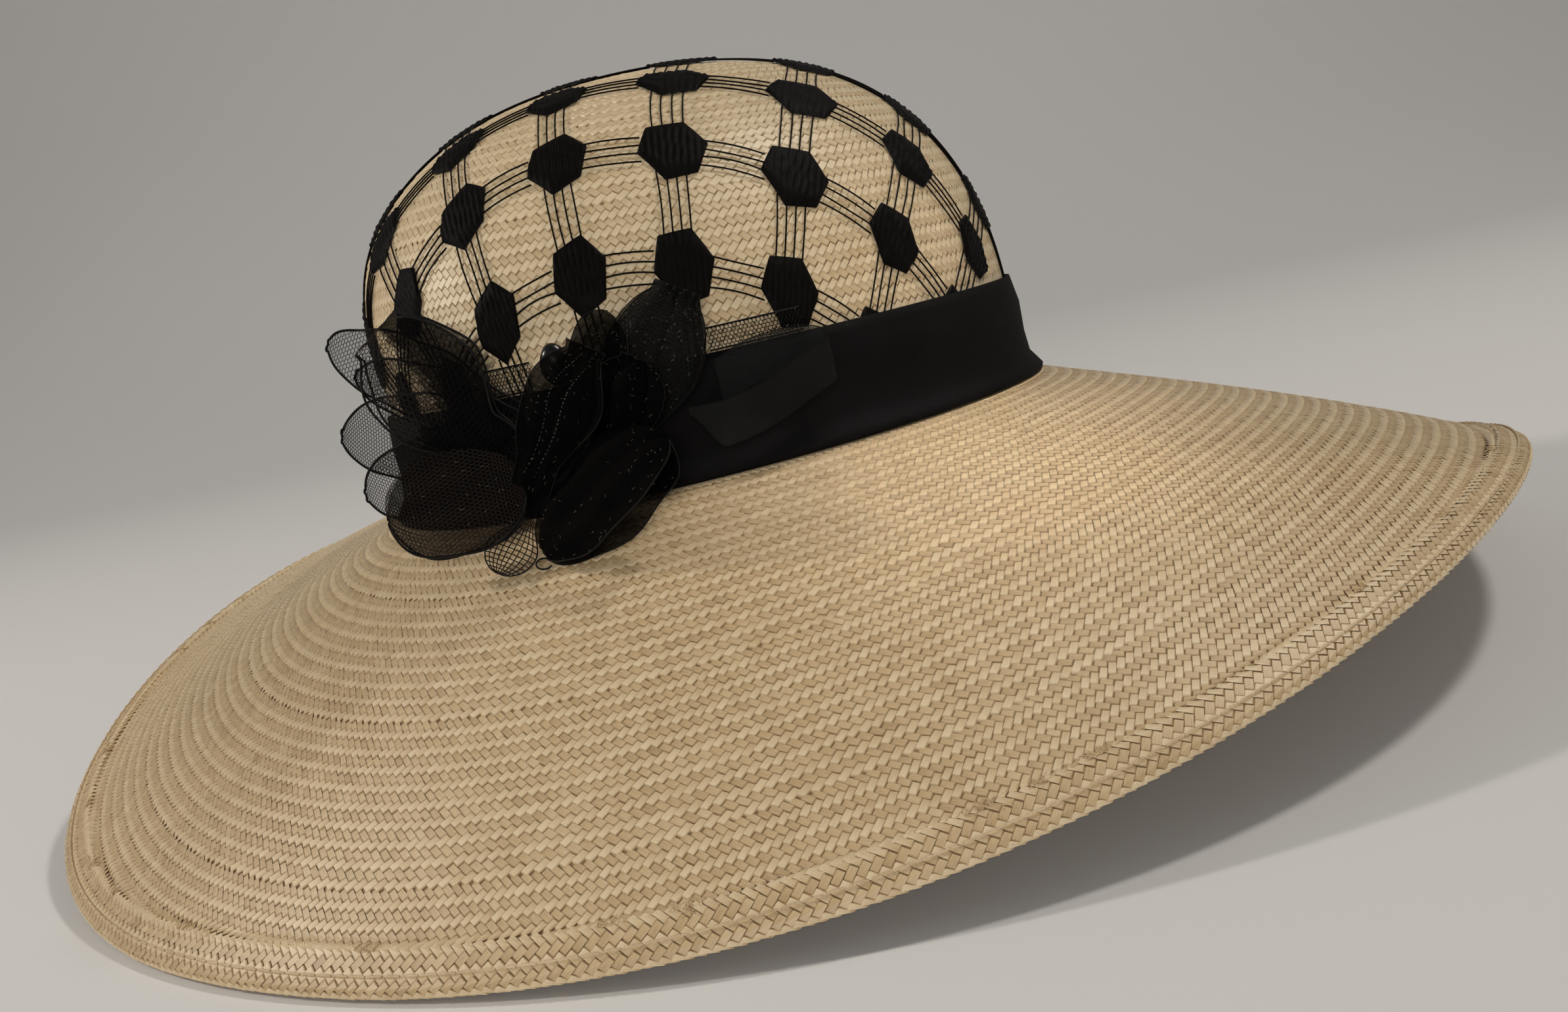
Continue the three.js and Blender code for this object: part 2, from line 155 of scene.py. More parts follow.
@dataclass
class MeshBuffer:
    """Points and faces that are gathered before they turn into one mesh."""

    points: list[np.ndarray] = field(default_factory=list)
    faces: list[np.ndarray] = field(default_factory=list)
    tones: list[np.ndarray] = field(default_factory=list)
    strands: list[np.ndarray] = field(default_factory=list)
    count: int = 0

    def add(
        self,
        points: np.ndarray,
        faces: np.ndarray,
        tone: Tone = 0.5,
        strand: np.ndarray | None = None,
    ) -> None:
        """Add a batch of points and faces.

        Args:
            points: places in millimetres, one row each.
            faces: point numbers within this batch, three or four to a row.
            tone: shade of each point from 0 to 1.
            strand: flat place of each point on its strand or cloth.
        """
        size = len(points)
        self.points.append(points)
        self.faces.append(faces + self.count)
        self.tones.append(np.broadcast_to(np.asarray(tone, float), (size,)))
        self.strands.append(points[:, :2] if strand is None else strand)
        self.count += size

    def build(
        self, name: str, material: bpy.types.Material, rides: bool = True, smooth: bool = True
    ) -> bpy.types.Object:
        """Turn what was gathered into a mesh object.

        Args:
            name: the piece's name.
            material: its finish.
            rides: whether it is part of the hat.
            smooth: whether its faces blend into each other.

        Returns:
            The new object, in metres.
        """
        points = np.concatenate(self.points) * MM
        corners = np.concatenate([batch.ravel() for batch in self.faces]).astype(np.int32)
        sizes = np.concatenate([np.full(len(batch), batch.shape[1]) for batch in self.faces])
        starts = np.concatenate([[0], np.cumsum(sizes)[:-1]]).astype(np.int32)
        mesh = bpy.data.meshes.new(name)
        mesh.vertices.add(len(points))
        mesh.vertices.foreach_set("co", points.astype(np.float32).ravel())
        mesh.loops.add(len(corners))
        mesh.loops.foreach_set("vertex_index", corners)
        mesh.polygons.add(len(starts))
        mesh.polygons.foreach_set("loop_start", starts)
        mesh.polygons.foreach_set("use_smooth", np.full(len(starts), smooth))
        mesh.update(calc_edges=True)
        mesh.validate()
        tone = mesh.attributes.new("tone", "FLOAT", "POINT")
        tone.data.foreach_set("value", np.concatenate(self.tones).astype(np.float32))
        layer = mesh.uv_layers.new(name="strand")
        layer.data.foreach_set("uv", np.concatenate(self.strands)[corners].astype(np.float32).ravel())
        mesh.materials.append(material)
        piece = bpy.data.objects.new(name, mesh)
        bpy.context.scene.collection.objects.link(piece)
        if rides:
            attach(piece, "root")
        LOG.info("%s: %d faces", name, len(starts))
        return piece


def pose_matrix(ways: np.ndarray, spot: Sequence[float]) -> Matrix:
    """Put directions, one to a column, and a place in metres into one matrix."""
    return Matrix([[*row, shift] for row, shift in zip(ways, spot)] + [[0, 0, 0, 1]])


def declare_cloth(
    piece: bpy.types.Object,
    width: float,
    length: float,
    held: Held,
    layers: int = 1,
    rests_on: Sequence[str] = (),
) -> None:
    """Take the flat cut of a sheet of cloth, and do nothing with it.

    Args:
        piece: the sheet; not used.
        width: the cut's width in millimetres; not used.
        length: the cut's length in millimetres; not used.
        held: how it is held; not used.
        layers: 2 for a mesh that closes round the cloth; not used.
        rests_on: names of what it lies on.
    """
    list(rests_on)


class Shading:
    """Lays the nodes of one finish."""

    def __init__(self, name: str) -> None:
        """Start a material with its plain surface node.

        Args:
            name: the material's name.
        """
        self.material = bpy.data.materials.new(name)
        self.material.use_nodes = True
        self.tree = self.material.node_tree
        self.surface = self.tree.nodes["Principled BSDF"]

    def node(self, kind: str, **values: object) -> bpy.types.Node:
        """Add a node and set its options and inputs.

        Args:
            kind: the node's type, without the ShaderNode in front.
            values: options by name, or inputs by name with spaces as underscores.

        Returns:
            The new node.
        """
        made = self.tree.nodes.new("ShaderNode" + kind)
        for name, value in values.items():
            if hasattr(made, name):
                setattr(made, name, value)
            else:
                made.inputs[name.replace("_", " ")].default_value = value
        return made

    def link(self, source: bpy.types.NodeSocket, target: bpy.types.NodeSocket) -> None:
        """Join two sockets."""
        self.tree.links.new(source, target)

    def math(self, operation: str, first: object, second: object) -> bpy.types.NodeSocket:
        """Work out one sum from sockets or numbers.

        Args:
            operation: the sum's name.
            first: a socket or a number.
            second: a socket or a number.

        Returns:
            The result's socket.
        """
        made = self.node("Math", operation=operation)
        for slot, value in zip(made.inputs, (first, second)):
            if isinstance(value, (int, float)):
                slot.default_value = value
            else:
                self.link(value, slot)
        return made.outputs[0]

    def ramp(
        self, factor: bpy.types.NodeSocket, stops: Sequence[tuple[float, Triple]]
    ) -> bpy.types.NodeSocket:
        """Turn a number into a colour.

        Args:
            factor: the number's socket.
            stops: places from 0 to 1, each with its colour.

        Returns:
            The colour's socket.
        """
        made = self.node("ValToRGB")
        elements = made.color_ramp.elements
        while len(elements) < len(stops):
            elements.new(0.5)
        for element, (place, colour) in zip(elements, stops):
            element.position = place
            element.color = (*colour, 1)
        self.link(factor, made.inputs["Fac"])
        return made.outputs["Color"]

    def noise(
        self, scale: float, detail: float = 3, stretch: Triple = (1, 1, 1), on: str = "Object"
    ) -> bpy.types.NodeSocket:
        """Add a noise in the object's own space or along the strand's flat place.

        Args:
            scale: how fine it is.
            detail: how many finer layers it has.
            stretch: how much finer it is along each axis.
            on: the coordinates it uses.

        Returns:
            The noise's socket.
        """
        place = self.node("Mapping")
        place.inputs["Scale"].default_value = stretch
        self.link(self.node("TexCoord").outputs[on], place.inputs["Vector"])
        made = self.node("TexNoise", Scale=scale, Detail=detail)
        self.link(place.outputs["Vector"], made.inputs["Vector"])
        return made.outputs["Fac"]

    def bump(self, height: bpy.types.NodeSocket, strength: float, distance: float) -> None:
        """Raise the surface by a height map.

        Args:
            height: the height's socket.
            strength: how much of it shows.
            distance: its depth in metres.
        """
        made = self.node("Bump", Strength=strength, Distance=distance)
        self.link(height, made.inputs["Height"])
        self.link(made.outputs["Normal"], self.surface.inputs["Normal"])


@dataclass(frozen=True)
class StrawFinish:
    """Split straw: a pale glossy skin with lengthwise grain, browner in its low tones: grain and stain, and the
    painted shade along cut edges, at tucked ends and in the gaps.
    """

    name: str = "straw_plait"
    deep_and_shade: Triple = (0.115, 0.068, 0.03)
    brown: Triple = (0.36, 0.236, 0.114)
    middle: Triple = (0.6, 0.44, 0.248)
    pale: Triple = (0.82, 0.672, 0.445)
    roughness: tuple[float, float] = (0.32, 0.5)

    def material(self) -> bpy.types.Material:
        """Lay the straw's nodes.

        Returns:
            The new material.
        """
        shade = Shading(self.name)
        tone = shade.node("Attribute", attribute_name="tone").outputs["Fac"]
        grain = shade.noise(1.0, 4, (0.35, 5.0, 1.0), "UV")
        stain = shade.noise(16, 4)
        factor = tone
        for noise, share in ((grain, 0.5), (stain, 0.22)):
            change = shade.math("MULTIPLY", shade.math("SUBTRACT", noise, 0.5), share)
            factor = shade.math("ADD", factor, change)
        stops = [(0.0, self.deep_and_shade), (0.3, self.brown), (0.6, self.middle), (1.0, self.pale)]
        shade.link(shade.ramp(factor, stops), shade.surface.inputs["Base Color"])
        low, high = self.roughness
        rough = shade.math("ADD", shade.math("MULTIPLY", grain, high - low), low)
        shade.link(rough, shade.surface.inputs["Roughness"])
        shade.surface.inputs["Specular IOR Level"].default_value = 0.5
        shade.bump(grain, 0.25, 0.0002)
        return shade.material


@dataclass(frozen=True)
class ThreadFinish:
    """Dyed thread or ribbon: a dark colour with fine ribs and a faint shine."""

    name: str
    colour: Triple
    light: Triple
    roughness: float = 0.6
    scale: float = 900.0
    depth: float = 0.0001
    alpha: float = 1.0
    gloss: float = 0.2
    # A pale colour painted on as glints on the threads whose tone reaches it.
    spark: Triple = (0.13, 0.118, 0.09)

    def material(self) -> bpy.types.Material:
        """Lay the thread's nodes.

        Returns:
            The new material.
        """
        shade = Shading(self.name)
        fine = shade.noise(self.scale, 2)
        broad = shade.noise(self.scale / 25, 3)
        tone = shade.node("Attribute", attribute_name="tone").outputs["Fac"]
        factor = shade.math("MULTIPLY", shade.math("ADD", fine, shade.math("SUBTRACT", tone, 0.5)), broad)
        stops = [(0.1, self.colour), (0.55, self.light), (1.0, self.spark)]
        shade.link(shade.ramp(factor, stops), shade.surface.inputs["Base Color"])
        rough = shade.math("ADD", shade.math("MULTIPLY", fine, 0.3), self.roughness - 0.15)
        shade.link(rough, shade.surface.inputs["Roughness"])
        shade.surface.inputs["Specular IOR Level"].default_value = self.gloss
        if self.alpha < 1:
            shade.surface.inputs["Alpha"].default_value = self.alpha
        shade.bump(fine, 0.5, self.depth)
        return shade.material


@dataclass(frozen=True)
class FloorFinish:
    """Plain pale floor paint."""

    colour: Triple = (0.82, 0.82, 0.817)

    def material(self) -> bpy.types.Material:
        """Lay the floor's nodes.

        Returns:
            The new material.
        """
        shade = Shading("pale_floor")
        cloud = shade.noise(1.5, 3)
        dim = tuple(0.97 * share for share in self.colour)
        shade.link(shade.ramp(cloud, [(0.3, dim), (0.7, self.colour)]), shade.surface.inputs["Base Color"])
        shade.surface.inputs["Roughness"].default_value = 0.9
        return shade.material


@dataclass(frozen=True)
class Finishes:
    """All the hat's materials, made once."""

    straw: bpy.types.Material
    lace: bpy.types.Material
    ribbon: bpy.types.Material
    sheer: bpy.types.Material
    grey_sheer: bpy.types.Material
    dense: bpy.types.Material
    veil: bpy.types.Material
    haze: bpy.types.Material
    grey_ribbon: bpy.types.Material
    net: bpy.types.Material
    brown_net: bpy.types.Material
    cord: bpy.types.Material
    glint: bpy.types.Material
    satin: bpy.types.Material
    stitch: bpy.types.Material

    @classmethod
    def make(cls) -> "Finishes":
        """Make every finish.

        Returns:
            The materials, each under its field's name.
        """
        black, thread = (0.001, 0.001, 0.001), ThreadFinish
        finishes = {
            "straw": StrawFinish(),
            "lace": thread(
                "lace_thread", (0.0012, 0.0009, 0.0008), (0.0046, 0.0033, 0.0029), 0.6, 1600, gloss=0.07
            ),
            "ribbon": thread(
                "black_ribbon", (0.002, 0.0018, 0.002), (0.005, 0.0045, 0.005), 0.8, 1500, gloss=0.1
            ),
            "sheer": thread("sheer_cloth", black, (0.003, 0.0027, 0.0027), 0.7, 1900, alpha=0.74, gloss=0.04),
            "grey_sheer": thread(
                "grey_sheer_ribbon",
                (0.004, 0.004, 0.0041),
                (0.011, 0.011, 0.0112),
                0.75,
                1800,
                alpha=0.75,
                gloss=0.05,
            ),
            "dense": thread(
                "dense_cloth",
                (0.0008, 0.0008, 0.0008),
                (0.0024, 0.0021, 0.002),
                0.75,
                1900,
                alpha=0.93,
                gloss=0.03,
            ),
            "veil": thread(
                "brown_veil", (0.002, 0.0015, 0.0011), (0.006, 0.0042, 0.003), 0.7, 1900, alpha=0.55, gloss=0.04
            ),
            "haze": thread(
                "thin_veil", (0.003, 0.003, 0.003), (0.012, 0.0115, 0.011), 0.7, 1900, alpha=0.3, gloss=0.04
            ),
            "grey_ribbon": thread(
                "grey_ribbon",
                (0.005, 0.005, 0.0052),
                (0.018, 0.018, 0.0186),
                0.6,
                1800,
                depth=0.00003,
                alpha=0.7,
                gloss=0.1,
            ),
            "net": thread(
                "net_thread", (0.0012, 0.0011, 0.0011), (0.0045, 0.0038, 0.0034), 0.4, 1200, gloss=0.16
            ),
            "brown_net": thread("brown_net_thread", (0.008, 0.005, 0.003), (0.03, 0.018, 0.011), 0.45, 1200),
            "cord": thread("edge_cord", (0.002, 0.002, 0.0021), (0.007, 0.0065, 0.007), 0.5, 2200, gloss=0.15),
            # The selvedge thread's pale colour is a painted glint.
            "glint": thread("selvedge_thread", (0.006, 0.006, 0.0065), (0.1, 0.1, 0.105), 0.3, 1500, gloss=0.4),
            "satin": thread("satin_bud", (0.002, 0.002, 0.0022), (0.006, 0.006, 0.0065), 0.24, 700, gloss=0.5),
            "stitch": thread("straw_stitch", (0.5, 0.36, 0.2), (0.75, 0.6, 0.4), 0.5, 1400),
        }
        return cls(**{name: finish.material() for name, finish in finishes.items()})


@dataclass(frozen=True)
class HeadPose:
    """Where the crown stands over the brim, and how it leans."""

    centre: Triple = (0.0, -16.0, 73.5)
    nod: float = -1.5
    lean: float = -1.9

    @cached_property
    def turn(self) -> np.ndarray:
        """The crown's rotation."""
        nod, lean = math.radians(self.nod), math.radians(self.lean)
        return np.array(Matrix.Rotation(lean, 3, "Y") @ Matrix.Rotation(nod, 3, "X"))

    def place(self, points: np.ndarray) -> np.ndarray:
        """Bring points from the crown's own frame to the hat's."""
        return points @ self.turn.T + np.array(self.centre)

    def aim(self, ways: np.ndarray) -> np.ndarray:
        """Bring directions from the crown's own frame to the hat's."""
        return ways @ self.turn.T


@dataclass(frozen=True)
class CrownForm:
    """The dome of the crown, in its own frame with the headline at zero."""

    half_width: float = 88.2
    half_length: float = 104.4
    height: float = 97.0
    roundness: float = 2.5
    pinch: float = 0.07
    wall: float = 1.5
    tuck_depth: float = 9.2
    tuck_turn: float = 37.5
    tuck_reach: tuple[float, float] = (35.0, 88.0)
    tuck_height: tuple[float, float] = (12.0, 72.0)

    def face(self, angle: np.ndarray, rise: np.ndarray) -> np.ndarray:
        """Find points of the dome's outer face.

        Args:
            angle: angles round the crown.
            rise: from 0 at the headline to a quarter turn at the top.

        Returns:
            The points.
        """
        rise = np.clip(rise, 0, math.pi / 2)
        share = np.sin(rise) ** (2 / self.roundness)
        spread = np.maximum(np.cos(rise), 0) ** (2 / self.roundness) * (1 - self.pinch * (1 - share))
        across = self.half_width * spread * np.sin(angle)
        ahead = -self.half_length * spread * np.cos(angle)
        points = np.stack([across, ahead, self.height * share + 0 * across], -1)
        turn = math.radians(self.tuck_turn)
        inward = np.array([math.cos(turn), math.sin(turn), 0.0])
        (near, far), (low, high) = self.tuck_reach, self.tuck_height
        side = smoothstep((-(points @ inward) - near) / (far - near))
        fade = 1 - smoothstep((points[..., 2] - low) / (high - low))
        return points + (self.tuck_depth * side * fade)[..., None] * inward

    def normal(self, angle: np.ndarray, rise: np.ndarray) -> np.ndarray:
        """Find the outward direction of the dome.

        Args:
            angle: angles round the crown.
            rise: from 0 at the headline to a quarter turn at the top.

        Returns:
            The directions, of length one.
        """
        rise = np.clip(rise, NUDGE, math.pi / 2 - 0.02)
        round_ = self.face(angle + NUDGE, rise) - self.face(angle - NUDGE, rise)
        upward = self.face(angle, rise + NUDGE) - self.face(angle, rise - NUDGE)
        return unit(np.cross(round_, upward))

    def off(self, angle: np.ndarray, rise: np.ndarray, out: np.ndarray | float) -> np.ndarray:
        """Find points at a distance off the dome."""
        return self.face(angle, rise) + self.normal(angle, rise) * np.asarray(out)[..., None]

    def rise_at(self, height: np.ndarray | float) -> np.ndarray:
        """Find the rise at which the dome has a height."""
        return np.arcsin((np.asarray(height, float) / self.height) ** (self.roundness / 2))

    def foot(self, angle: np.ndarray, height: np.ndarray | float, out: np.ndarray | float) -> np.ndarray:
        """Find points off the headline's upright wall.

        Args:
            angle: angles round the crown.
            height: heights over the headline.
            out: distances off the wall.

        Returns:
            The points.
        """
        line = self.face(angle, np.zeros_like(angle))
        away = unit(line * np.array([self.half_width**-2, self.half_length**-2, 0]))
        points = line + away * np.asarray(out)[..., None]
        points[..., 2] = height
        return points

    @cached_property
    def arc_table(self) -> tuple[np.ndarray, np.ndarray, np.ndarray]:
        """Measure arcs down from the top all round the crown.

        Returns:
            The angles, the rises and the arcs' lengths at each angle and rise.
        """
        rises = np.linspace(math.pi / 2, 0, 600)
        angles = np.linspace(0, TURN, 73)
        lines = self.face(angles[:, None], rises[None, :] + 0 * angles[:, None])
        steps = np.linalg.norm(np.diff(lines, axis=1), axis=-1)
        return angles, rises, np.concatenate([np.zeros((len(angles), 1)), np.cumsum(steps, axis=1)], axis=1)

    def rise_down(self, angle: np.ndarray, arc: np.ndarray) -> np.ndarray:
        """Find the rise at an arc length down from the top.

        Args:
            angle: angles round the crown.
            arc: lengths along the dome, from its top.

        Returns:
            The rises.
        """
        angles, rises, lengths = self.arc_table
        place = np.mod(angle, TURN) / TURN * (len(angles) - 1)
        low = np.clip(place.astype(int), 0, len(angles) - 2)
        part = place - low
        found = np.zeros_like(arc, float)
        for row in range(len(angles) - 1):
            mask = low == row
            if mask.any():
                first = np.interp(arc[mask], lengths[row], rises)
                second = np.interp(arc[mask], lengths[row + 1], rises)
                found[mask] = first + (second - first) * part[mask]
        return found

    def meridian(self, angle: np.ndarray) -> np.ndarray:
        """Find the arc length from the top to the headline at each angle."""
        angles, _, lengths = self.arc_table
        return np.interp(np.mod(angle, TURN), angles, lengths[:, -1])


@dataclass(frozen=True)
class BrimForm:
    """The brim: round in plan, low in front and behind, lifted at the sides."""

    crown: CrownForm
    pose: HeadPose
    radius: float = 202.5
    wall: float = 1.4
    bulge: float = 3.0
    lift_right: float = 34.3
    lift_left: float = 41.5
    lift_power: float = 2.63
    lift_shift: float = 0.15
    rest_depth: float = 0.3
    start_out: float = 3.0
    start_drop: float = 4.0
    hem_width: float = 9.5
    hem_thickness: float = 2.7

    def edge(self, angle: np.ndarray) -> np.ndarray:
        """Find points of the brim's outer edge.

        Args:
            angle: angles round the hat.

        Returns:
            The points.
        """
        side = np.sin(angle)
        most = np.where(side > 0, self.lift_right, self.lift_left)
        lift = np.abs(np.sin(angle - self.lift_shift * side)) ** self.lift_power * most - self.rest_depth
        return np.stack([self.radius * side, -self.radius * np.cos(angle), np.maximum(lift, 0)], -1)

    def start(self, angle: np.ndarray) -> np.ndarray:
        """Find points of the brim's inner line, at the headline."""
        return self.pose.place(self.crown.foot(angle, -self.start_drop, self.start_out))

    def width(self, angle: np.ndarray) -> np.ndarray:
        """Find the brim's width from the headline to the edge."""
        return np.linalg.norm(self.edge(angle) - self.start(angle), axis=-1)

    def slope(self, angle: np.ndarray, along: np.ndarray) -> np.ndarray:
        """Find points of the brim's lower side.

        Args:
            angle: angles round the hat.
            along: shares of the way from the headline to the edge.

        Returns:
            The points.
        """
        first = self.start(angle)
        points = first + (self.edge(angle) - first) * along[..., None]
        points[..., 2] += self.bulge * 4 * along * (1 - along)
        return points

    def ways(self, angle: np.ndarray, along: np.ndarray) -> tuple[np.ndarray, np.ndarray]:
        """Find the brim's upward and outward directions.

        Args:
            angle: angles round the hat.
            along: shares of the way from the headline to the edge.

        Returns:
            The directions up and the directions out.
        """
        round_ = self.slope(angle + NUDGE, along) - self.slope(angle - NUDGE, along)
        out = self.slope(angle, along + NUDGE) - self.slope(angle, along - NUDGE)
        return unit(np.cross(out, round_)), unit(out)

    @cached_property
    def profile(self) -> tuple[np.ndarray, np.ndarray, np.ndarray]:
        """Draw the brim's section, from its lower side round the edge to its upper side.

        Returns:
            At each corner, the reach from the nose, the inset from the edge and the height over the lower side.
        """
        hem, thick = self.hem_width, self.hem_thickness
        upper = [(0.02, 1.1), (0.3, 1.9), (0.9, 2.45), (1.8, thick), (hem - 0.6, thick), (hem + 0.1, 2.4)]
        upper += [(hem + 0.7, 1.55), (hem + 1.4, self.wall), (200, self.wall)]
        lower = [(0.25, 0.4), (0.8, -0.1), (1.6, -0.25), (4, -0.1), (8, 0.0), (200, 0.0)]
        line = np.array(lower[::-1] + upper)
        reach = np.concatenate([[0], np.cumsum(np.linalg.norm(np.diff(line, axis=0), axis=1))])
        return reach - reach[len(lower)], line[:, 0], line[:, 1]

    def surface(self, angle: np.ndarray, reach: np.ndarray) -> tuple[np.ndarray, np.ndarray]:
        """Find points and outward directions on the brim.

        Args:
            angle: angles round the hat.
            reach: lengths in from the edge, below zero on the lower side.

        Returns:
            The points and the directions.
        """
        places, insets, heights = self.profile
        inset = np.interp(reach, places, insets)
        above = np.interp(reach, places, heights)
        step = 0.3
        inward = np.interp(reach + step, places, insets) - np.interp(reach - step, places, insets)
        upward = np.interp(reach + step, places, heights) - np.interp(reach - step, places, heights)
        along = 1 - inset / self.width(angle)
        up, out = self.ways(angle, along)
        points = self.slope(angle, along) + up * above[..., None]
        return points, unit(up * inward[..., None] + out * upward[..., None])


@dataclass(frozen=True)
class Weave:
    """A twill plait on the bias: short floats lean one way, the next row's lean the other way.

    A pair of numbers is for the floats that lean to the right and to the left.
    """

    strand: float = 1.64
    squeeze: float = 0.88
    overlap: float = 1.14
    stretch: tuple[float, float] = (0.98, 1.06)
    half_width: float = 0.53
    crest: float = 0.36
    lift: tuple[float, float] = (0.9, 1.1)
    dip: float = 0.42
    # Painted shade: tone taken off along each float's outward edge and at both its ends, where it drops under
    # its neighbours.
    shaded_edge: float = 0.38
    shaded_end: float = 0.34
    # Painted highlight: tone added near each float's outward end, where it bends over and would catch the
    # light.
    painted_glint_end: tuple[float, float] = (0.1, 0.26)
    # Painted light: the two tones are the straw's own tone, with the floats of one lean painted lighter as if
    # they caught the light.
    tones: tuple[float, float] = (0.535, 0.645)
    seed: int = 7

    @property
    def pitch(self) -> float:
        """The floats' spacing along a row."""
        return self.strand * math.sqrt(2)

    @property
    def pair(self) -> float:
        """The height of two rows, one leaning each way."""
        return 2 * self.strand * math.sqrt(2) * self.squeeze

    def let_in(self, radii: Sequence[float], first: int) -> list[tuple[float, int]]:
        """Count the floats of each pair of rows, and let new strands in where they have spread too far.

        Args:
            radii: the mean radius of each pair of rows.
            first: the number of the first pair.

        Returns:
            Each pair's number and its count of floats.
        """
        found, count = [], 0
        for number, radius in enumerate(radii, first):
            wanted = TURN * radius / self.pitch
            if not 0.87 < wanted / max(count, 1) < 1.13:
                count = round(wanted * 1.09)
            found.append((float(number), count))
        return found

    def lay(
        self, buffer: MeshBuffer, surface: Surface, rows: Rows, keep: Choice, place: Choice, fine: bool = True
    ) -> None:
        """Lay the floats of several rows on a surface.

        Args:
            buffer: where the floats go.
            surface: gives points and directions for angles and places across.
            rows: each pair of rows, by its number and its count of floats.
            keep: says which floats stay, from their angle and place.
            place: turns a row number into a place across, at an angle.
            fine: whether each float has a cut edge of its own, with painted shade along it.
        """
        random = np.random.default_rng(self.seed)
        section = np.array(FINE_SECTION if fine else PLAIN_SECTION)
        ends = np.array(FINE_ENDS if fine else PLAIN_ENDS)
        side, end = (part.ravel() for part in np.meshgrid(section[:, 0], ends[:, 0], indexing="xy"))
        faces = grid_faces(len(ends), len(section))
        dome = np.tile(section[:, 1], len(ends))
        bow = np.repeat(ends[:, 1], len(section))
        # Painted shade along the cut edge, and at the ends that go under the next floats.
        edge = np.where((side < -0.9) & fine, self.shaded_edge, 0.0)
        edge = edge + np.where(np.abs(end) > 0.9, self.shaded_end, 0.0)
        # The facet near the outward end gets the painted highlight.
        lit = np.abs(end - 0.66) < 0.1
        for hand, (lean, shift) in enumerate(((1, 0.0), (-1, 0.5))):
            counts = np.array([count for _, count in rows])
            row = np.repeat([number + shift for number, _ in rows], counts)
            angle = np.concatenate([(np.arange(count) + shift) / count * TURN for count in counts])
            count = np.repeat(counts, counts)
            stay = keep(angle, place(angle, row))
            angle, row, count = angle[stay], row[stay], count[stay]
            size = len(angle)
            long = self.strand * self.overlap * self.stretch[hand] * random.uniform(0.94, 1.06, size)
            wide = self.strand * self.half_width * random.uniform(0.94, 1.02, size)
            way = (math.pi / 4 + random.normal(0, 0.03, size))[:, None]
            on, aside = end * long[:, None], side * wide[:, None]
            x = on * np.cos(way) + aside * np.sin(way)
            y = on * np.sin(way) - aside * np.cos(way)
            turns = angle[:, None] + lean * x / self.pitch * (TURN / count)[:, None]
            rises = row[:, None] + y / self.pair * self.squeeze
            crest = self.crest * random.uniform(0.8, 1.1, size)[:, None] * self.lift[hand]
            height = crest * (0.55 * dome + 0.45) * bow - self.dip * (1 - bow) - 0.12 * (1 - dome)
            points, normals = surface(turns.ravel(), place(turns.ravel(), rises.ravel()))
            points = points + normals * (height.ravel() - self.crest)[:, None]
            shade = random.normal(0.0, 0.045, size)[:, None] + self.tones[hand]
            shade = shade - edge + np.where(lit, self.painted_glint_end[hand], 0.0)
            start = random.uniform(0, 400, size)[:, None]
            strand = np.stack([on + start, aside + start * 1.7], -1)
            numbers = (faces[None] + (np.arange(size) * len(side))[:, None, None]).reshape(-1, 4)
            buffer.add(points, numbers, np.clip(shade, 0, 1).ravel(), strand.reshape(-1, 2))

    def plait(
        self,
        name: str,
        surface: Surface,
        rows: Rows,
        keep: Choice,
        place: Choice,
        finishes: Finishes,
        fine: bool = True,
    ) -> None:
        """Lay a plait and make it a piece of straw.

        Args:
            name: the piece's name.
            surface: gives points and directions for angles and places across.
            rows: each pair of rows, by its number and its count of floats.
            keep: says which floats stay, from their angle and place.
            place: turns a row number into a place across, at an angle.
            finishes: the hat's materials.
            fine: whether each float has a cut edge of its own, with painted shade along it.
        """
        buffer = MeshBuffer()
        self.lay(buffer, surface, rows, keep, place, fine)
        piece = buffer.build(name, finishes.straw, smooth=False)


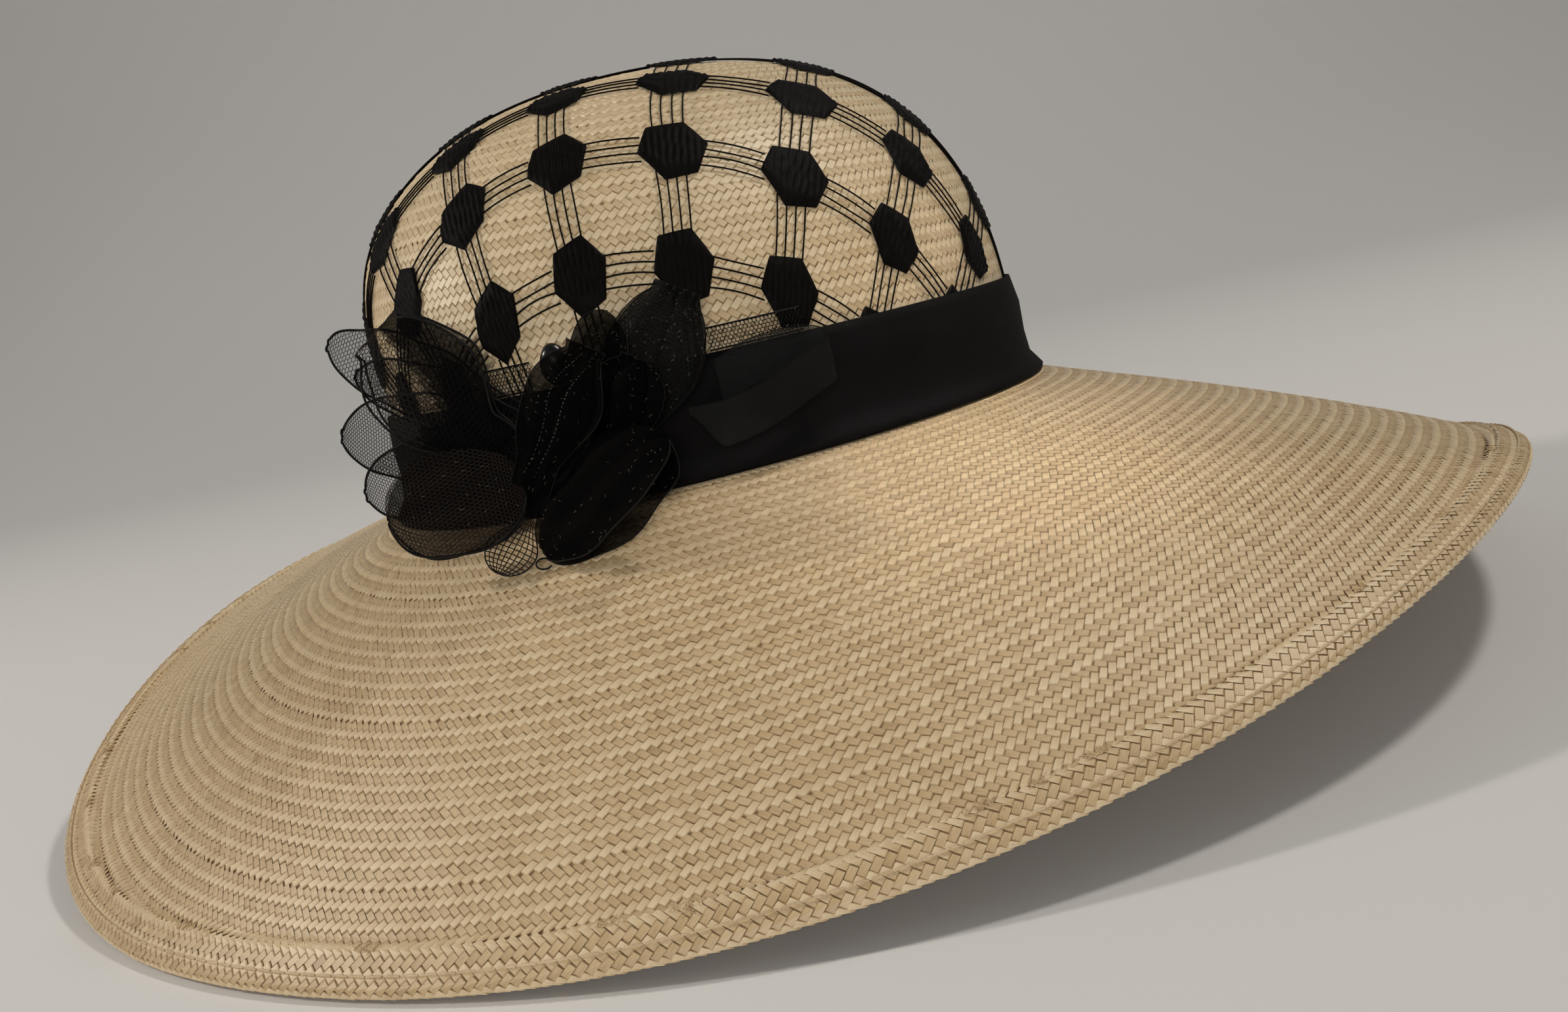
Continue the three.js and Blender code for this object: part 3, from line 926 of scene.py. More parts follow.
@dataclass
class Brim:
    """The straw brim: its core, its plait on both sides, and the sewn hem."""

    form: BrimForm
    weave: Weave = Weave()
    hem_weave: Weave = Weave(strand=1.75, squeeze=1.0, crest=0.4, seed=21)
    sides: int = 288
    row_pairs: int = 32
    row_step: float = 0.93
    first_radius: float = 92.0
    hem_radius: float = 201.0
    fray_radius: float = 192.0
    rows_from_hem: float = 10.1
    stitch_inset: float = 4.6
    stitch_count: int = 300
    frayed: int = 330
    seed: int = 11

    def row_place(self, angle: np.ndarray, row: np.ndarray) -> np.ndarray:
        """Turn a row's number, from the headline out, into its reach from the edge."""
        return self.form.width(angle) + 1.0 - row * self.weave.pair

    def row_below(self, angle: np.ndarray, row: np.ndarray) -> np.ndarray:
        """Turn a row's number into its reach on the lower side."""
        return -self.row_place(angle, row)

    def hem_place(self, angle: np.ndarray, row: np.ndarray) -> np.ndarray:
        """Turn a hem row's number into its reach, the same at every angle."""
        return row * self.hem_weave.pair * self.row_step + 0.2

    def on_top(self, angle: np.ndarray, reach: np.ndarray) -> np.ndarray:
        """Say which floats lie on the upper side, inside the hem."""
        return (reach > self.rows_from_hem) & (reach < self.form.width(angle) - 0.5)

    def on_front(self, angle: np.ndarray, reach: np.ndarray) -> np.ndarray:
        """Say which floats lie on the upper side's front half."""
        return self.on_top(angle, reach) & (np.cos(angle) > 0)

    def on_back(self, angle: np.ndarray, reach: np.ndarray) -> np.ndarray:
        """Say which floats lie on the upper side's back half."""
        return self.on_top(angle, reach) & (np.cos(angle) <= 0)

    def on_underside(self, angle: np.ndarray, reach: np.ndarray) -> np.ndarray:
        """Say which floats lie on the lower side, inside the edge."""
        return (reach < -2.5) & (reach > -self.form.width(angle) + 1)

    def on_hem(self, angle: np.ndarray, reach: np.ndarray) -> np.ndarray:
        """Say which floats lie on the hem, at every angle."""
        return reach < self.form.hem_width + 0.9

    def rows(self) -> list[tuple[float, int]]:
        """Count the floats of each pair of rows, from the headline out."""
        step = self.weave.pair * self.row_step
        return self.weave.let_in([self.first_radius + number * step for number in range(self.row_pairs)], 0)

    def core(self, finishes: Finishes) -> None:
        """Build the closed straw sheet under the plait.

        Args:
            finishes: the hat's materials.
        """
        angle = np.arange(self.sides) / self.sides * TURN
        wide = self.form.width(angle)
        shares = np.linspace(0, 0.88, 14)
        reaches = [wide - share * wide for share in shares]
        hem_reaches = (12.4, 11.7, 11.0, 10.4, 9.6, 5.0, 2.6, 1.4, 0.4, -0.6, -1.6, -4.0)
        reaches += [0 * wide + reach for reach in hem_reaches]
        reaches += [-(wide - share * wide) for share in shares[::-1]]
        rows = []
        for reach in reaches:
            points, normals = self.form.surface(angle, reach)
            rows.append(points - normals * UNDER_PLAIT)
        collar = ((-3.6, -2.9), (2, -3.0), (9, -3.0), (9, -2.2), (2, -2.2), (-3.0, -1.4))
        rows += [self.form.pose.place(self.form.crown.foot(angle, height, out)) for height, out in collar]
        buffer = MeshBuffer()
        faces = grid_faces(len(rows) + 1, self.sides, ring=True) % (len(rows) * self.sides)
        # The core's low tone is painted shade: it shows dark in the gaps between the floats.
        buffer.add(np.array(rows).reshape(-1, 3), faces, 0.34)
        piece = buffer.build("brim_core", finishes.straw)
        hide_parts("brim")
        declare_cloth(piece, 410, 410, Held.STRETCHED, 2)

    def plait(self, finishes: Finishes) -> None:
        """Lay the plait on the brim's two sides and along the hem.

        Args:
            finishes: the hat's materials.
        """
        face, rows = self.form.surface, self.rows()
        for name, keep in (("brim_plait_upper_front", self.on_front), ("brim_plait_upper_back", self.on_back)):
            self.weave.plait(name, face, rows, keep, self.row_place, finishes)
        self.weave.plait("brim_plait_lower", face, rows, self.on_underside, self.row_below, finishes, False)
        count = round(TURN * self.hem_radius / self.hem_weave.pitch)
        hem_rows = [(-0.5, count), (0.5, count), (1.5, count)]
        self.hem_weave.plait("brim_hem_plait", face, hem_rows, self.on_hem, self.hem_place, finishes)

    def stitching(self, finishes: Finishes) -> None:
        """Sew the hem: one long stitch after another, a little raised.

        Args:
            finishes: the hat's materials.
        """
        count = self.stitch_count
        part = np.linspace(0.06, 0.94, 7)
        angle = (np.arange(count)[:, None] + part[None, :]) / count * TURN
        reach = np.full_like(angle, self.stitch_inset)
        points, normals = self.form.surface(angle, reach)
        lift = 0.1 + 0.28 * np.sin(np.pi * (part - 0.06) / 0.88)
        paths = points + normals * lift[None, :, None]
        made, faces = tubes(paths, normals, 0.24, 6)
        buffer = MeshBuffer()
        buffer.add(made, faces, 0.75)
        piece = buffer.build("hem_stitches", finishes.stitch)

    def fraying(self, finishes: Finishes) -> None:
        """Let cut straw ends stick out in tufts along the hem's inner line.

        Args:
            finishes: the hat's materials.
        """
        random, count = np.random.default_rng(self.seed), self.frayed
        tufts = random.uniform(0, TURN, count // 9)
        angle = (tufts[random.integers(0, len(tufts), count)] + random.normal(0, 0.006, count))[:, None]
        part = np.linspace(0, 1, 4)[None, :]
        length = random.uniform(0.8, 3.2, count)[:, None]
        slant = random.normal(0, 0.9, count)[:, None]
        reach = self.form.hem_width - 0.2 + length * part * np.cos(slant)
        turn = angle + length * part * np.sin(slant) / self.fray_radius
        points, normals = self.form.surface(turn, reach)
        lift = random.uniform(0.05, 0.5, count)[:, None] * part + 0.1
        made, faces = tubes(points + normals * lift[..., None], normals, 0.13, 4)
        tone = np.repeat(random.uniform(0.45, 0.7, count), 16)
        buffer = MeshBuffer()
        buffer.add(made, faces, tone)
        piece = buffer.build("hem_frayed_ends", finishes.straw)

    def make(self, finishes: Finishes) -> None:
        """Build the whole brim.

        Args:
            finishes: the hat's materials.
        """
        self.core(finishes)
        self.plait(finishes)
        self.stitching(finishes)
        self.fraying(finishes)


@dataclass
class Crown:
    """The straw crown: its core and its plait outside and inside."""

    form: CrownForm
    pose: HeadPose
    # The crown's tones are paler than the brim's: painted sheen for its glossier straw, on top of the lean's
    # painted light.
    weave: Weave = Weave(tones=(0.7, 0.86), seed=31)
    sides: int = 144
    longest: float = 148.0

    @property
    def row_count(self) -> float:
        """The rows from the top to the headline."""
        return self.longest / self.weave.pair

    def surface(self, angle: np.ndarray, arc: np.ndarray) -> tuple[np.ndarray, np.ndarray]:
        """Find points and directions of the crown's outer face.

        Args:
            angle: angles round the crown.
            arc: lengths down from the crown's top.

        Returns:
            The points and the outward directions.
        """
        rise = self.form.rise_down(angle, arc)
        normals = self.form.normal(angle, rise)
        return self.pose.place(self.form.face(angle, rise)), self.pose.aim(normals)

    def inside(self, angle: np.ndarray, arc: np.ndarray) -> tuple[np.ndarray, np.ndarray]:
        """Find points and directions of the crown's inner face."""
        points, normals = self.surface(angle, arc)
        return points - normals * self.form.wall, -normals

    def row_place(self, angle: np.ndarray, row: np.ndarray) -> np.ndarray:
        """Turn a row's number into its length down from the top."""
        return row / self.row_count * self.form.meridian(angle)

    def on_dome(self, angle: np.ndarray, arc: np.ndarray) -> np.ndarray:
        """Say which floats lie over the headline."""
        return arc < self.form.meridian(angle) - 1

    def rows(self) -> list[tuple[float, int]]:
        """Count the floats of each pair of rows.

        Returns:
            Each pair's number and its count of floats.
        """
        pairs = int(self.row_count)
        turn = np.full(pairs, 0.8)
        rise = self.form.rise_down(turn, np.arange(1, pairs + 1) * self.weave.pair)
        return self.weave.let_in(np.linalg.norm(self.form.face(turn, rise)[:, :2], axis=1), 1)

    def core(self, finishes: Finishes) -> None:
        """Build the straw sheet under the plait.

        Args:
            finishes: the hat's materials.
        """
        angle = np.arange(self.sides) / self.sides * TURN
        rises = np.concatenate([[math.pi / 2 - 1e-4, 1.5, 1.4], np.linspace(1.25, 0, 16)])
        layers = [(rise, -UNDER_PLAIT) for rise in rises]
        layers += [(rise, UNDER_PLAIT - self.form.wall) for rise in rises[::-1]]
        rows = [self.pose.place(self.form.off(angle, np.full_like(angle, rise), out)) for rise, out in layers]
        buffer = MeshBuffer()
        # The core's low tone is painted shade: it shows dark in the gaps between the floats.
        buffer.add(np.array(rows).reshape(-1, 3), grid_faces(len(rows), self.sides, ring=True), 0.4)
        piece = buffer.build("crown_core", finishes.straw)
        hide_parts("crown")
        declare_cloth(piece, 300, 330, Held.STRETCHED, 2)

    def make(self, finishes: Finishes) -> None:
        """Build the core and the plait.

        Args:
            finishes: the hat's materials.
        """
        self.core(finishes)
        rows, keep, place = self.rows(), self.on_dome, self.row_place
        self.weave.plait("crown_plait_outer", self.surface, rows, keep, place, finishes)
        self.weave.plait("crown_plait_inner", self.inside, rows, keep, place, finishes, False)


@dataclass
class LaceCover:
    """A net of ribbed lace dots, joined by bundles of four threads, laid over the crown."""

    form: CrownForm
    pose: HeadPose
    gap: float = 0.5
    turn: float = 38.0
    pitch_across: float = 30.6
    pitch_down: float = 31.0
    first: tuple[float, float] = (17.2, -49.8)
    reach: int = 6
    lowest: float = 10.0
    ribs: int = 10
    thread: float = 0.21
    spread: float = 2.55
    seed: int = 5
    outline: tuple[tuple[float, float], ...] = (
        (-8.2, -1.2), (-5.6, 7.5), (3.8, 10.0), (9.6, 3.4), (7.0, -5.9), (-1.6, -9.1)
    )

    def ways(self) -> tuple[np.ndarray, np.ndarray]:
        """The lattice's directions across and down."""
        turn = math.radians(self.turn)
        return np.array([math.cos(turn), math.sin(turn)]), np.array([math.sin(turn), -math.cos(turn)])

    def on_crown(self, flat: np.ndarray, out: np.ndarray | float) -> tuple[np.ndarray, np.ndarray]:
        """Lay flat points on the crown.

        Args:
            flat: places on the flat lace, round the crown's top.
            out: distances off the crown.

        Returns:
            The points and the outward directions.
        """
        angle = np.arctan2(flat[..., 0], -flat[..., 1])
        arc = np.hypot(flat[..., 0], flat[..., 1])
        rise = self.form.rise_down(angle.ravel(), arc.ravel()).reshape(angle.shape)
        normals = self.form.normal(angle, rise)
        points = self.form.face(angle, rise) + normals * np.asarray(out)[..., None]
        return self.pose.place(points), self.pose.aim(normals)

    def dots(self) -> dict[tuple[int, int], np.ndarray]:
        """Find the dots that lie on the crown.

        Returns:
            Each dot's centre on the flat lace, by its column and row.
        """
        across, down = self.ways()
        found = {}
        for column in range(-self.reach, self.reach + 1):
            for row in range(-self.reach, self.reach + 1):
                flat = np.array(self.first) + across * column * self.pitch_across
                flat = flat + down * row * self.pitch_down
                angle = np.array([math.atan2(flat[0], -flat[1])])
                rise = self.form.rise_down(angle, np.array([np.hypot(*flat)]))
                if self.form.face(angle, rise)[0, 2] >= self.lowest:
                    found[column, row] = flat
        return found

    def span(self, x: np.ndarray) -> tuple[np.ndarray, np.ndarray]:
        """Find the dot's outline at places across it.

        Args:
            x: the places.

        Returns:
            The outline's lowest and highest at each place.
        """
        left, *upper, right, fifth, sixth = np.array(self.outline)
        top = np.array([left, *upper, right])
        low = np.array([left, sixth, fifth, right])
        return np.interp(x, *low.T), np.interp(x, *top.T)

    def lay_dots(self, buffer: MeshBuffer, centres: Sequence[np.ndarray]) -> None:
        """Lay the ribbed dots.

        Args:
            buffer: where the dots go.
            centres: their places on the flat lace.
        """
        across, down = self.ways()
        steps, length = self.ribs * 4 + 1, 13
        x = np.linspace(-8.1, 9.5, steps)
        low, high = self.span(x)
        part = np.linspace(0, 1, length)
        y = low[:, None] + (high - low)[:, None] * part[None, :]
        rib = np.abs(np.sin(np.pi * np.arange(steps) / 4))[:, None]
        beads = 0.14 * np.sin(y * 3.4 + x[:, None] * 1.9)
        ends = np.minimum(np.minimum(part, 1 - part)[None, :] * 6, 1)
        rim = ends * np.minimum(np.minimum(x + 8.2, 9.6 - x)[:, None] * 1.2, 1)
        height = self.gap - 0.1 + (0.5 + 0.24 * rib + beads) * rim
        # Painted light: each rib's raised crest is painted lighter than the furrow beside it.
        shade = (0.4 + 0.25 * rib + 0 * y).ravel()
        strand = np.stack([x[:, None] + 0 * y, y], -1).reshape(-1, 2)
        faces = grid_faces(steps, length)
        for flat in centres:
            points, _ = self.on_crown(flat + x[:, None, None] * across - y[..., None] * down, height)
            buffer.add(points.reshape(-1, 3), faces, shade, strand)

    def lay_threads(self, buffer: MeshBuffer, dots: dict[tuple[int, int], np.ndarray]) -> None:
        """Join each dot to the next ones with bundles of four threads.

        Args:
            buffer: where the threads go.
            dots: the dots' centres by column and row.
        """
        across, down = self.ways()
        offsets = (np.arange(4) - 1.5) * self.spread
        share = np.linspace(0, 1, 9)
        random = np.random.default_rng(self.seed)
        for (column, row), flat in dots.items():
            for step, way, side, clear in (((1, 0), across, down, 7.2), ((0, 1), down, across, 6.6)):
                other = dots.get((column + step[0], row + step[1]))
                if other is None:
                    continue
                first, last = flat + way * clear, other - way * clear
                line = first + (last - first) * share[:, None]
                sway = random.normal(0, 0.22, 4)[:, None] * np.sin(np.pi * share)[None, :]
                paths = line[None] + (offsets[:, None] + sway)[..., None] * side
                points, normals = self.on_crown(paths, np.full(paths.shape[:2], self.gap))
                made, numbers = tubes(points, normals, self.thread, 5)
                buffer.add(made, numbers, 0.5)

    def make(self, finishes: Finishes) -> None:
        """Build the dots and the threads.

        Args:
            finishes: the hat's materials.
        """
        buffer, dots = MeshBuffer(), self.dots()
        self.lay_dots(buffer, list(dots.values()))
        self.lay_threads(buffer, dots)
        piece = buffer.build("lace_dots_and_threads", finishes.lace)
        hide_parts("lace_cover")
        declare_cloth(piece, 235, 250, Held.LAID, 1, ["crown_core"])


@dataclass(frozen=True)
class Net:
    """A mesh of six-sided cells, each side a thin thread."""

    cell: float = 1.45
    thread: float = 0.1

    def lay(
        self,
        buffer: MeshBuffer,
        width: float,
        length: float,
        place: Surface,
        keep: Choice,
        sparks: float = 0.0,
        bare: bool = False,
    ) -> None:
        """Lay the mesh on a surface.

        Args:
            buffer: where the threads go.
            width: the cloth's width.
            length: the cloth's length.
            place: gives points and directions for flat places.
            keep: says which flat places are on the cloth.
            sparks: the share of threads that glint, painted pale.
            bare: whether only those are laid, where the rest is too fine to see.
        """
        side = self.cell / math.sqrt(3)
        columns, rows = int(width / self.cell) + 2, int(length / (1.5 * side)) + 2
        column, row = np.meshgrid(np.arange(columns), np.arange(rows), indexing="ij")
        x = (column + 0.5 * (row % 2)).ravel() * self.cell
        y = row.ravel() * 1.5 * side
        starts, ends = [], []
        for step in ((0, side), (-self.cell / 2, -side / 2), (self.cell / 2, -side / 2)):
            starts.append(np.stack([x, y], -1))
            ends.append(np.stack([x + step[0], y + step[1]], -1))
        first, last = np.concatenate(starts), np.concatenate(ends)
        inside = np.ones(len(first), bool)
        for spot in (first, last):
            inside &= (spot >= 0).all(axis=1) & (spot <= (width, length)).all(axis=1)
            inside &= keep(spot[:, 0], spot[:, 1])
        flat = np.stack([first[inside], last[inside]], 1)
        glint = np.random.default_rng(len(flat)).random(len(flat)) < sparks
        if bare:
            flat, glint = flat[glint], glint[glint]
        if not len(flat):
            return
        points, normals = place(flat[..., 0].ravel(), flat[..., 1].ravel())
        made, faces = tubes(points.reshape(-1, 2, 3), normals.reshape(-1, 2, 3), self.thread, 3)
        buffer.add(made, faces, np.repeat(np.where(glint, GLINT_TONE, PLAIN_TONE), 6))


@dataclass(frozen=True)
class NetStrip:
    """A short strip of net that stands over the ribbon's upper edge."""

    form: CrownForm
    pose: HeadPose
    name: str
    first: float
    last: float
    height: float
    foot: float
    net: Net = Net(cell=0.95, thread=0.125)
    radius: float = 92.0
    off: float = 2.2
    sparks: float = 0.14
    least_cut: float = 11.0

    @property
    def width(self) -> float:
        """The strip's length round the crown."""
        return math.radians(self.last - self.first) * self.radius

    def place(self, x: np.ndarray, y: np.ndarray) -> tuple[np.ndarray, np.ndarray]:
        """Bring flat places of the strip to the hat.

        Args:
            x: places along the strip.
            y: heights on it.

        Returns:
            The points and the outward directions.
        """
        angle = math.radians(self.first) + x / self.width * math.radians(self.last - self.first)
        rise = self.form.rise_at(self.foot + y)
        normals = self.form.normal(angle, rise)
        return self.pose.place(self.form.face(angle, rise) + normals * self.off), self.pose.aim(normals)

    def keep(self, x: np.ndarray, y: np.ndarray) -> np.ndarray:
        """Say which flat places are on the strip: all of them."""
        return np.ones(np.broadcast(x, y).shape, bool)

    def make(self, finishes: Finishes) -> None:
        """Build the net and the threads of its two edges.

        Args:
            finishes: the hat's materials.
        """
        buffer = MeshBuffer()
        self.net.lay(buffer, self.width, self.height, self.place, self.keep, self.sparks)
        edge = np.linspace(0, self.width, 24)
        for level in (0.0, self.height):
            points, normals = self.place(edge, np.full_like(edge, level))
            made, faces = tubes(points[None], normals[None], 0.22, 5)
            buffer.add(made, faces, 0.3)
        piece = buffer.build(self.name + "_mesh", finishes.net)
        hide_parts(self.name)
        cut = max(self.width, self.least_cut), max(self.height + 1, self.least_cut)
        declare_cloth(piece, *cut, Held.LAID, 1, ["crown_core"])


@dataclass
class Band:
    """The black ribbon round the headline, and two short strips of net tucked behind it."""

    form: CrownForm
    brim: BrimForm
    pose: HeadPose
    gap: float = 2.0
    wall: float = 1.0
    top: float = 23.5
    sides: int = 240
    strips: tuple[tuple[str, float, float, float], ...] = (
        ("net_strip_left", 12.0, 20.0, 6.0),
        ("net_strip_right", 46.0, 60.0, 5.0),
    )

    def row(self, angle: np.ndarray, share: float, out: float) -> np.ndarray:
        """Find one line round the ribbon.

        Args:
            angle: angles round the crown.
            share: from 0 at the ribbon's foot to 1 at its upper edge.
            out: how far off the crown it lies.

        Returns:
            The line's points.
        """
        foot = np.full_like(angle, 0.025)
        up, _ = self.brim.ways(angle, foot)
        lines = [
            self.brim.slope(angle, foot) + up * (2.0 + out - self.gap),
            self.pose.place(self.form.foot(angle, 2.0, out + 1)),
        ]
        for height, off in ((8.0, out), (16.0, out), (self.top, out - 1.1)):
            rise = np.full_like(angle, self.form.rise_at(height))
            lines.append(self.pose.place(self.form.off(angle, rise, off)))
        place = share * 4
        low = min(int(place), 3)
        return lines[low] + (lines[low + 1] - lines[low]) * (place - low)

    def ribbon(self, finishes: Finishes) -> None:
        """Build the ribbon, a little wavy round the crown.

        Args:
            finishes: the hat's materials.
        """
        angle = np.arange(self.sides) / self.sides * TURN
        wave = 0.12 * np.sin(angle * 9 + 1) + 0.08 * np.sin(angle * 23)
        shares = np.linspace(0, 1, 13)
        outer = [self.row(angle, share, self.gap + self.wall) for share in shares]
        inner = [self.row(angle, share, self.gap) for share in shares[::-1]]
        rows = np.array(outer + inner)
        swell = np.sin(np.pi * np.minimum(np.arange(len(rows)) / 12, 1))
        rows[..., :2] *= (1 + wave / 110 * swell[:, None])[..., None]
        buffer = MeshBuffer()
        faces = grid_faces(len(rows) + 1, self.sides, ring=True) % (len(rows) * self.sides)
        buffer.add(rows.reshape(-1, 3), faces, 0.5)
        piece = buffer.build("band_ribbon", finishes.ribbon)
        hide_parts("band")
        declare_cloth(piece, 25, 640, Held.STRETCHED, 2, ["crown_core"])

    def make(self, finishes: Finishes) -> None:
        """Build the ribbon and the strips.

        Args:
            finishes: the hat's materials.
        """
        self.ribbon(finishes)
        for strip in self.strips:
            NetStrip(self.form, self.pose, *strip, self.top + 0.5).make(finishes)


class Cloth(Enum):
    """What a petal is made of."""

    NET = "net"
    GRID = "grid"
    VEIL = "veil"
    DENSE = "dense"
    SHEER = "sheer"
    MIXED = "mixed"


@dataclass(frozen=True)
class Petal:
    """One petal or loop of the flower, from its seat to its tip in the flower's frame."""

    name: str
    seat: Triple
    tip: Triple
    width: float
    bow: float = 0.0
    cup: float = 0.0
    ripple: float = 0.0
    lean: float = 0.0
    puff: float = 0.0
    cloth: Cloth = Cloth.SHEER
    cell: float = 1.0
    thread: float = 0.085
    sparks: float = 0.0
    cord: float = 0.3
    frill: float = 0.0
    pleat: float = 0.0
    square: float = 0.0
    oval: bool = False
    grey: bool = False
    corded: tuple[float, ...] = (-1.0, 1.0)

    @property
    def strip(self) -> float:
        """The length of the petal's strip of cloth."""
        length = float(np.linalg.norm(np.subtract(self.tip, self.seat)))
        return 2.05 * length if self.puff else length

    def share(self, along: np.ndarray) -> np.ndarray:
        """Find the share of the full width along the petal.

        Args:
            along: from 0 at the seat to 1 at the tip.

        Returns:
            The shares.
        """
        if self.oval:
            return np.maximum(np.sqrt(np.maximum(1 - np.abs(2 * along - 1) ** 2.6, 0)), 0.12)
        past = np.clip((along - 0.58) / 0.42, 0, 1)
        grown = 0.3 + 0.7 * smoothstep(along / 0.58)
        share = np.where(along < 0.58, grown, np.sqrt(np.maximum(1 - past * past, 0)))
        return np.maximum(share, max(0.5 if self.puff else 0.16, self.square))

    def line(self, strip: np.ndarray) -> tuple[np.ndarray, np.ndarray]:
        """Follow the strip of cloth out along the petal, and back where it is folded.

        Args:
            strip: from 0 to 1 along the strip.

        Returns:
            How far along the petal it runs, and how far off its middle.
        """
        if not self.puff:
            return 1 - (1 - strip) ** 1.4, 0 * strip
        start = 0.2 if self.oval else 0.5
        turn = start + (TURN - 2 * start) * strip
        along = (1 - np.cos(turn)) / 2
        return along, -self.puff * np.sin(turn) * (0.35 + 0.65 * along)

    def place(self, v: np.ndarray, strip: np.ndarray) -> np.ndarray:
        """Find points of the petal's middle surface.

        Args:
            v: from -1 at one edge to 1 at the other.
            strip: from 0 to 1 along the strip of cloth.

        Returns:
            Points in the flower's frame.
        """
        seat, tip = np.array(self.seat), np.array(self.tip)
        length = tip - seat
        way = unit(length)
        sideways = unit(np.cross(way, (0, 0, 1)))
        turn = math.radians(self.lean)
        sideways = sideways * math.cos(turn) + np.cross(way, sideways) * math.sin(turn)
        face = unit(np.cross(sideways, way))
        along, off = self.line(np.clip(strip, 0, 1))
        share = self.share(along)
        wave = self.ripple * v * along * np.sin(TURN * along + math.pi * v)
        frill = self.frill * np.abs(v) ** 3 * np.sin(strip * self.strip * 0.5 + 2 * v) * smoothstep(along * 4)
        pleats = self.pleat * np.sin(v * 7.5 + 2.2 * along + self.seat[0]) * (0.5 + 0.5 * along)
        lift = self.bow * np.sin(math.pi * along) - self.cup * v * v * share + wave + frill + pleats
        scallop = 0.6 * self.frill * np.abs(v) ** 4 * np.sign(v) * np.sin(strip * self.strip * 0.4 + v)
        aside = v * share * self.width / 2 + scallop
        return seat + along[..., None] * length + aside[..., None] * sideways + (lift + off)[..., None] * face


@dataclass
class Flower:
    """The sheer flower on the band: loops, scallops, folds, their corded edges and the bud."""

    form: CrownForm
    pose: HeadPose
    turn: float = 24.0
    height: float = 11.0
    out: float = 3.0
    petals: tuple[Petal, ...] = (
        Petal(
            "net_loop_upper", (-7, 6, 0.9), (-52, 33, -4), 17, 0.5, 0, 0.5,
            cloth=Cloth.NET, cell=1.15, frill=0.5,
        ),
        Petal(
            "net_loop_inner", (-7, 5, 2.3), (-46, 25, -1), 14, 0.5, 0, 0.5,
            cloth=Cloth.NET, cell=1.1, frill=0.4,
        ),
        Petal(
            "net_scallop_upper", (-7, 3, 3.7), (-52, 12, 1), 20, 0.6, 0, 0.6,
            cloth=Cloth.NET, cell=0.85, frill=0.35,
        ),
        Petal(
            "net_scallop_lower", (-7, 1, 5.1), (-49, -2, 3), 19, 0.6, 0, 0.6,
            cloth=Cloth.NET, cell=0.85, frill=0.35,
        ),
        Petal(
            "petal_left", (-14, 0, 7.5), (-36, 33, 7.5), 27, 1.5, 1, 0.8, 0, 3,
            cloth=Cloth.MIXED, cell=1.25, thread=0.07, pleat=0.5, frill=0.5,
        ),
        Petal(
            "petal_bottom", (-9, -6, 12.2), (-40.5, -7.6, 14.8), 22.8, 1, 0.5, 0.8, 9.3, 2.4,
            cloth=Cloth.VEIL, cell=0.9, sparks=0.015, pleat=0.4, frill=0.5, oval=True, corded=(-1.0,),
        ),
        Petal(
            "net_loop_bottom", (-11, -14, 8.4), (-17.5, -23.2, 18.2), 11.5, 1, 1, 0, 6,
            cloth=Cloth.GRID, cord=0.16,
        ),
        Petal(
            "petal_lower_right", (-8.1, -20.7, 15), (25.4, -2.2, 15), 19.5, 0, 0, 0.5, -28, 5.5,
            cloth=Cloth.DENSE, cell=0.9, thread=0.05, sparks=0.025, cord=0.18, pleat=0.5, frill=0.6,
            oval=True, corded=(1.0,),
        ),
        Petal(
            "loop_standing", (10, -5, 2.1), (31, 28.5, -1.5), 22, 0.6, 0, 0.5, 0, 2,
            sparks=0.05, cord=0.14, pleat=0.9, square=0.4, grey=True,
        ),
        Petal(
            "petal_upper", (5, 3, 3.8), (15, 27, 3.8), 14, 0.6, 0, 0.5,
            cloth=Cloth.DENSE, thread=0.05, sparks=0.05, cord=0.12, pleat=0.5, frill=0.4,
        ),
        Petal(
            "fold_right", (7, -4, 5), (21, 15, 6.4), 18, 1, 0, 1,
            cloth=Cloth.DENSE, thread=0.05, sparks=0.05, cord=0.1, pleat=0.9, frill=0.5, square=0.45,
        ),
        Petal(
            "fold_centre", (-8, -7, 14), (11, 20.5, 11), 18, 2, 0, 1.4,
            cloth=Cloth.DENSE, thread=0.05, sparks=0.04, cord=0.1, pleat=0.8, frill=0.6, square=0.5,
        ),
    )
    bud_half: Triple = (3.2, 4.8, 2.8)
    bud_at: Triple = (0.4, 17.8, 0.6)
    seed: int = 9

    @cached_property
    def axes(self) -> tuple[np.ndarray, np.ndarray]:
        """Find the flower's place on the crown.

        Returns:
            The seat, and the directions along, up and out.
        """
        angle = np.array([math.radians(self.turn)])
        rise = np.array([float(self.form.rise_at(self.height))])
        ahead = self.form.off(angle + 0.01, rise, self.out)[0] - self.form.off(angle - 0.01, rise, self.out)[0]
        ahead[2] = 0
        along = unit(ahead)
        up = np.array([0.0, 0.0, 1.0])
        return self.form.off(angle, rise, self.out)[0], np.stack([along, up, np.cross(along, up)])

    def world(self, points: np.ndarray) -> np.ndarray:
        """Bring points from the flower's frame to the hat's."""
        seat, ways = self.axes
        return self.pose.place(points @ ways + seat)

    def aim(self, directions: np.ndarray) -> np.ndarray:
        """Bring directions from the flower's frame to the hat's."""
        return self.pose.aim(directions @ self.axes[1])

    def cord(
        self, buffer: MeshBuffer, lines: np.ndarray, radius: float, sides: int, tone: Tone = PLAIN_TONE
    ) -> None:
        """Lay cords along lines in the flower's frame.

        Args:
            buffer: where the cords go.
            lines: points of the lines, shaped (lines, points, 3).
            radius: the cords' radius.
            sides: flat sides round each cord.
            tone: their shade.
        """
        paths = self.world(lines)
        out = np.broadcast_to(self.aim(np.array([0.0, 0.0, 1.0])), paths.shape)
        made, faces = tubes(paths, out, radius, sides)
        buffer.add(made, faces, tone)

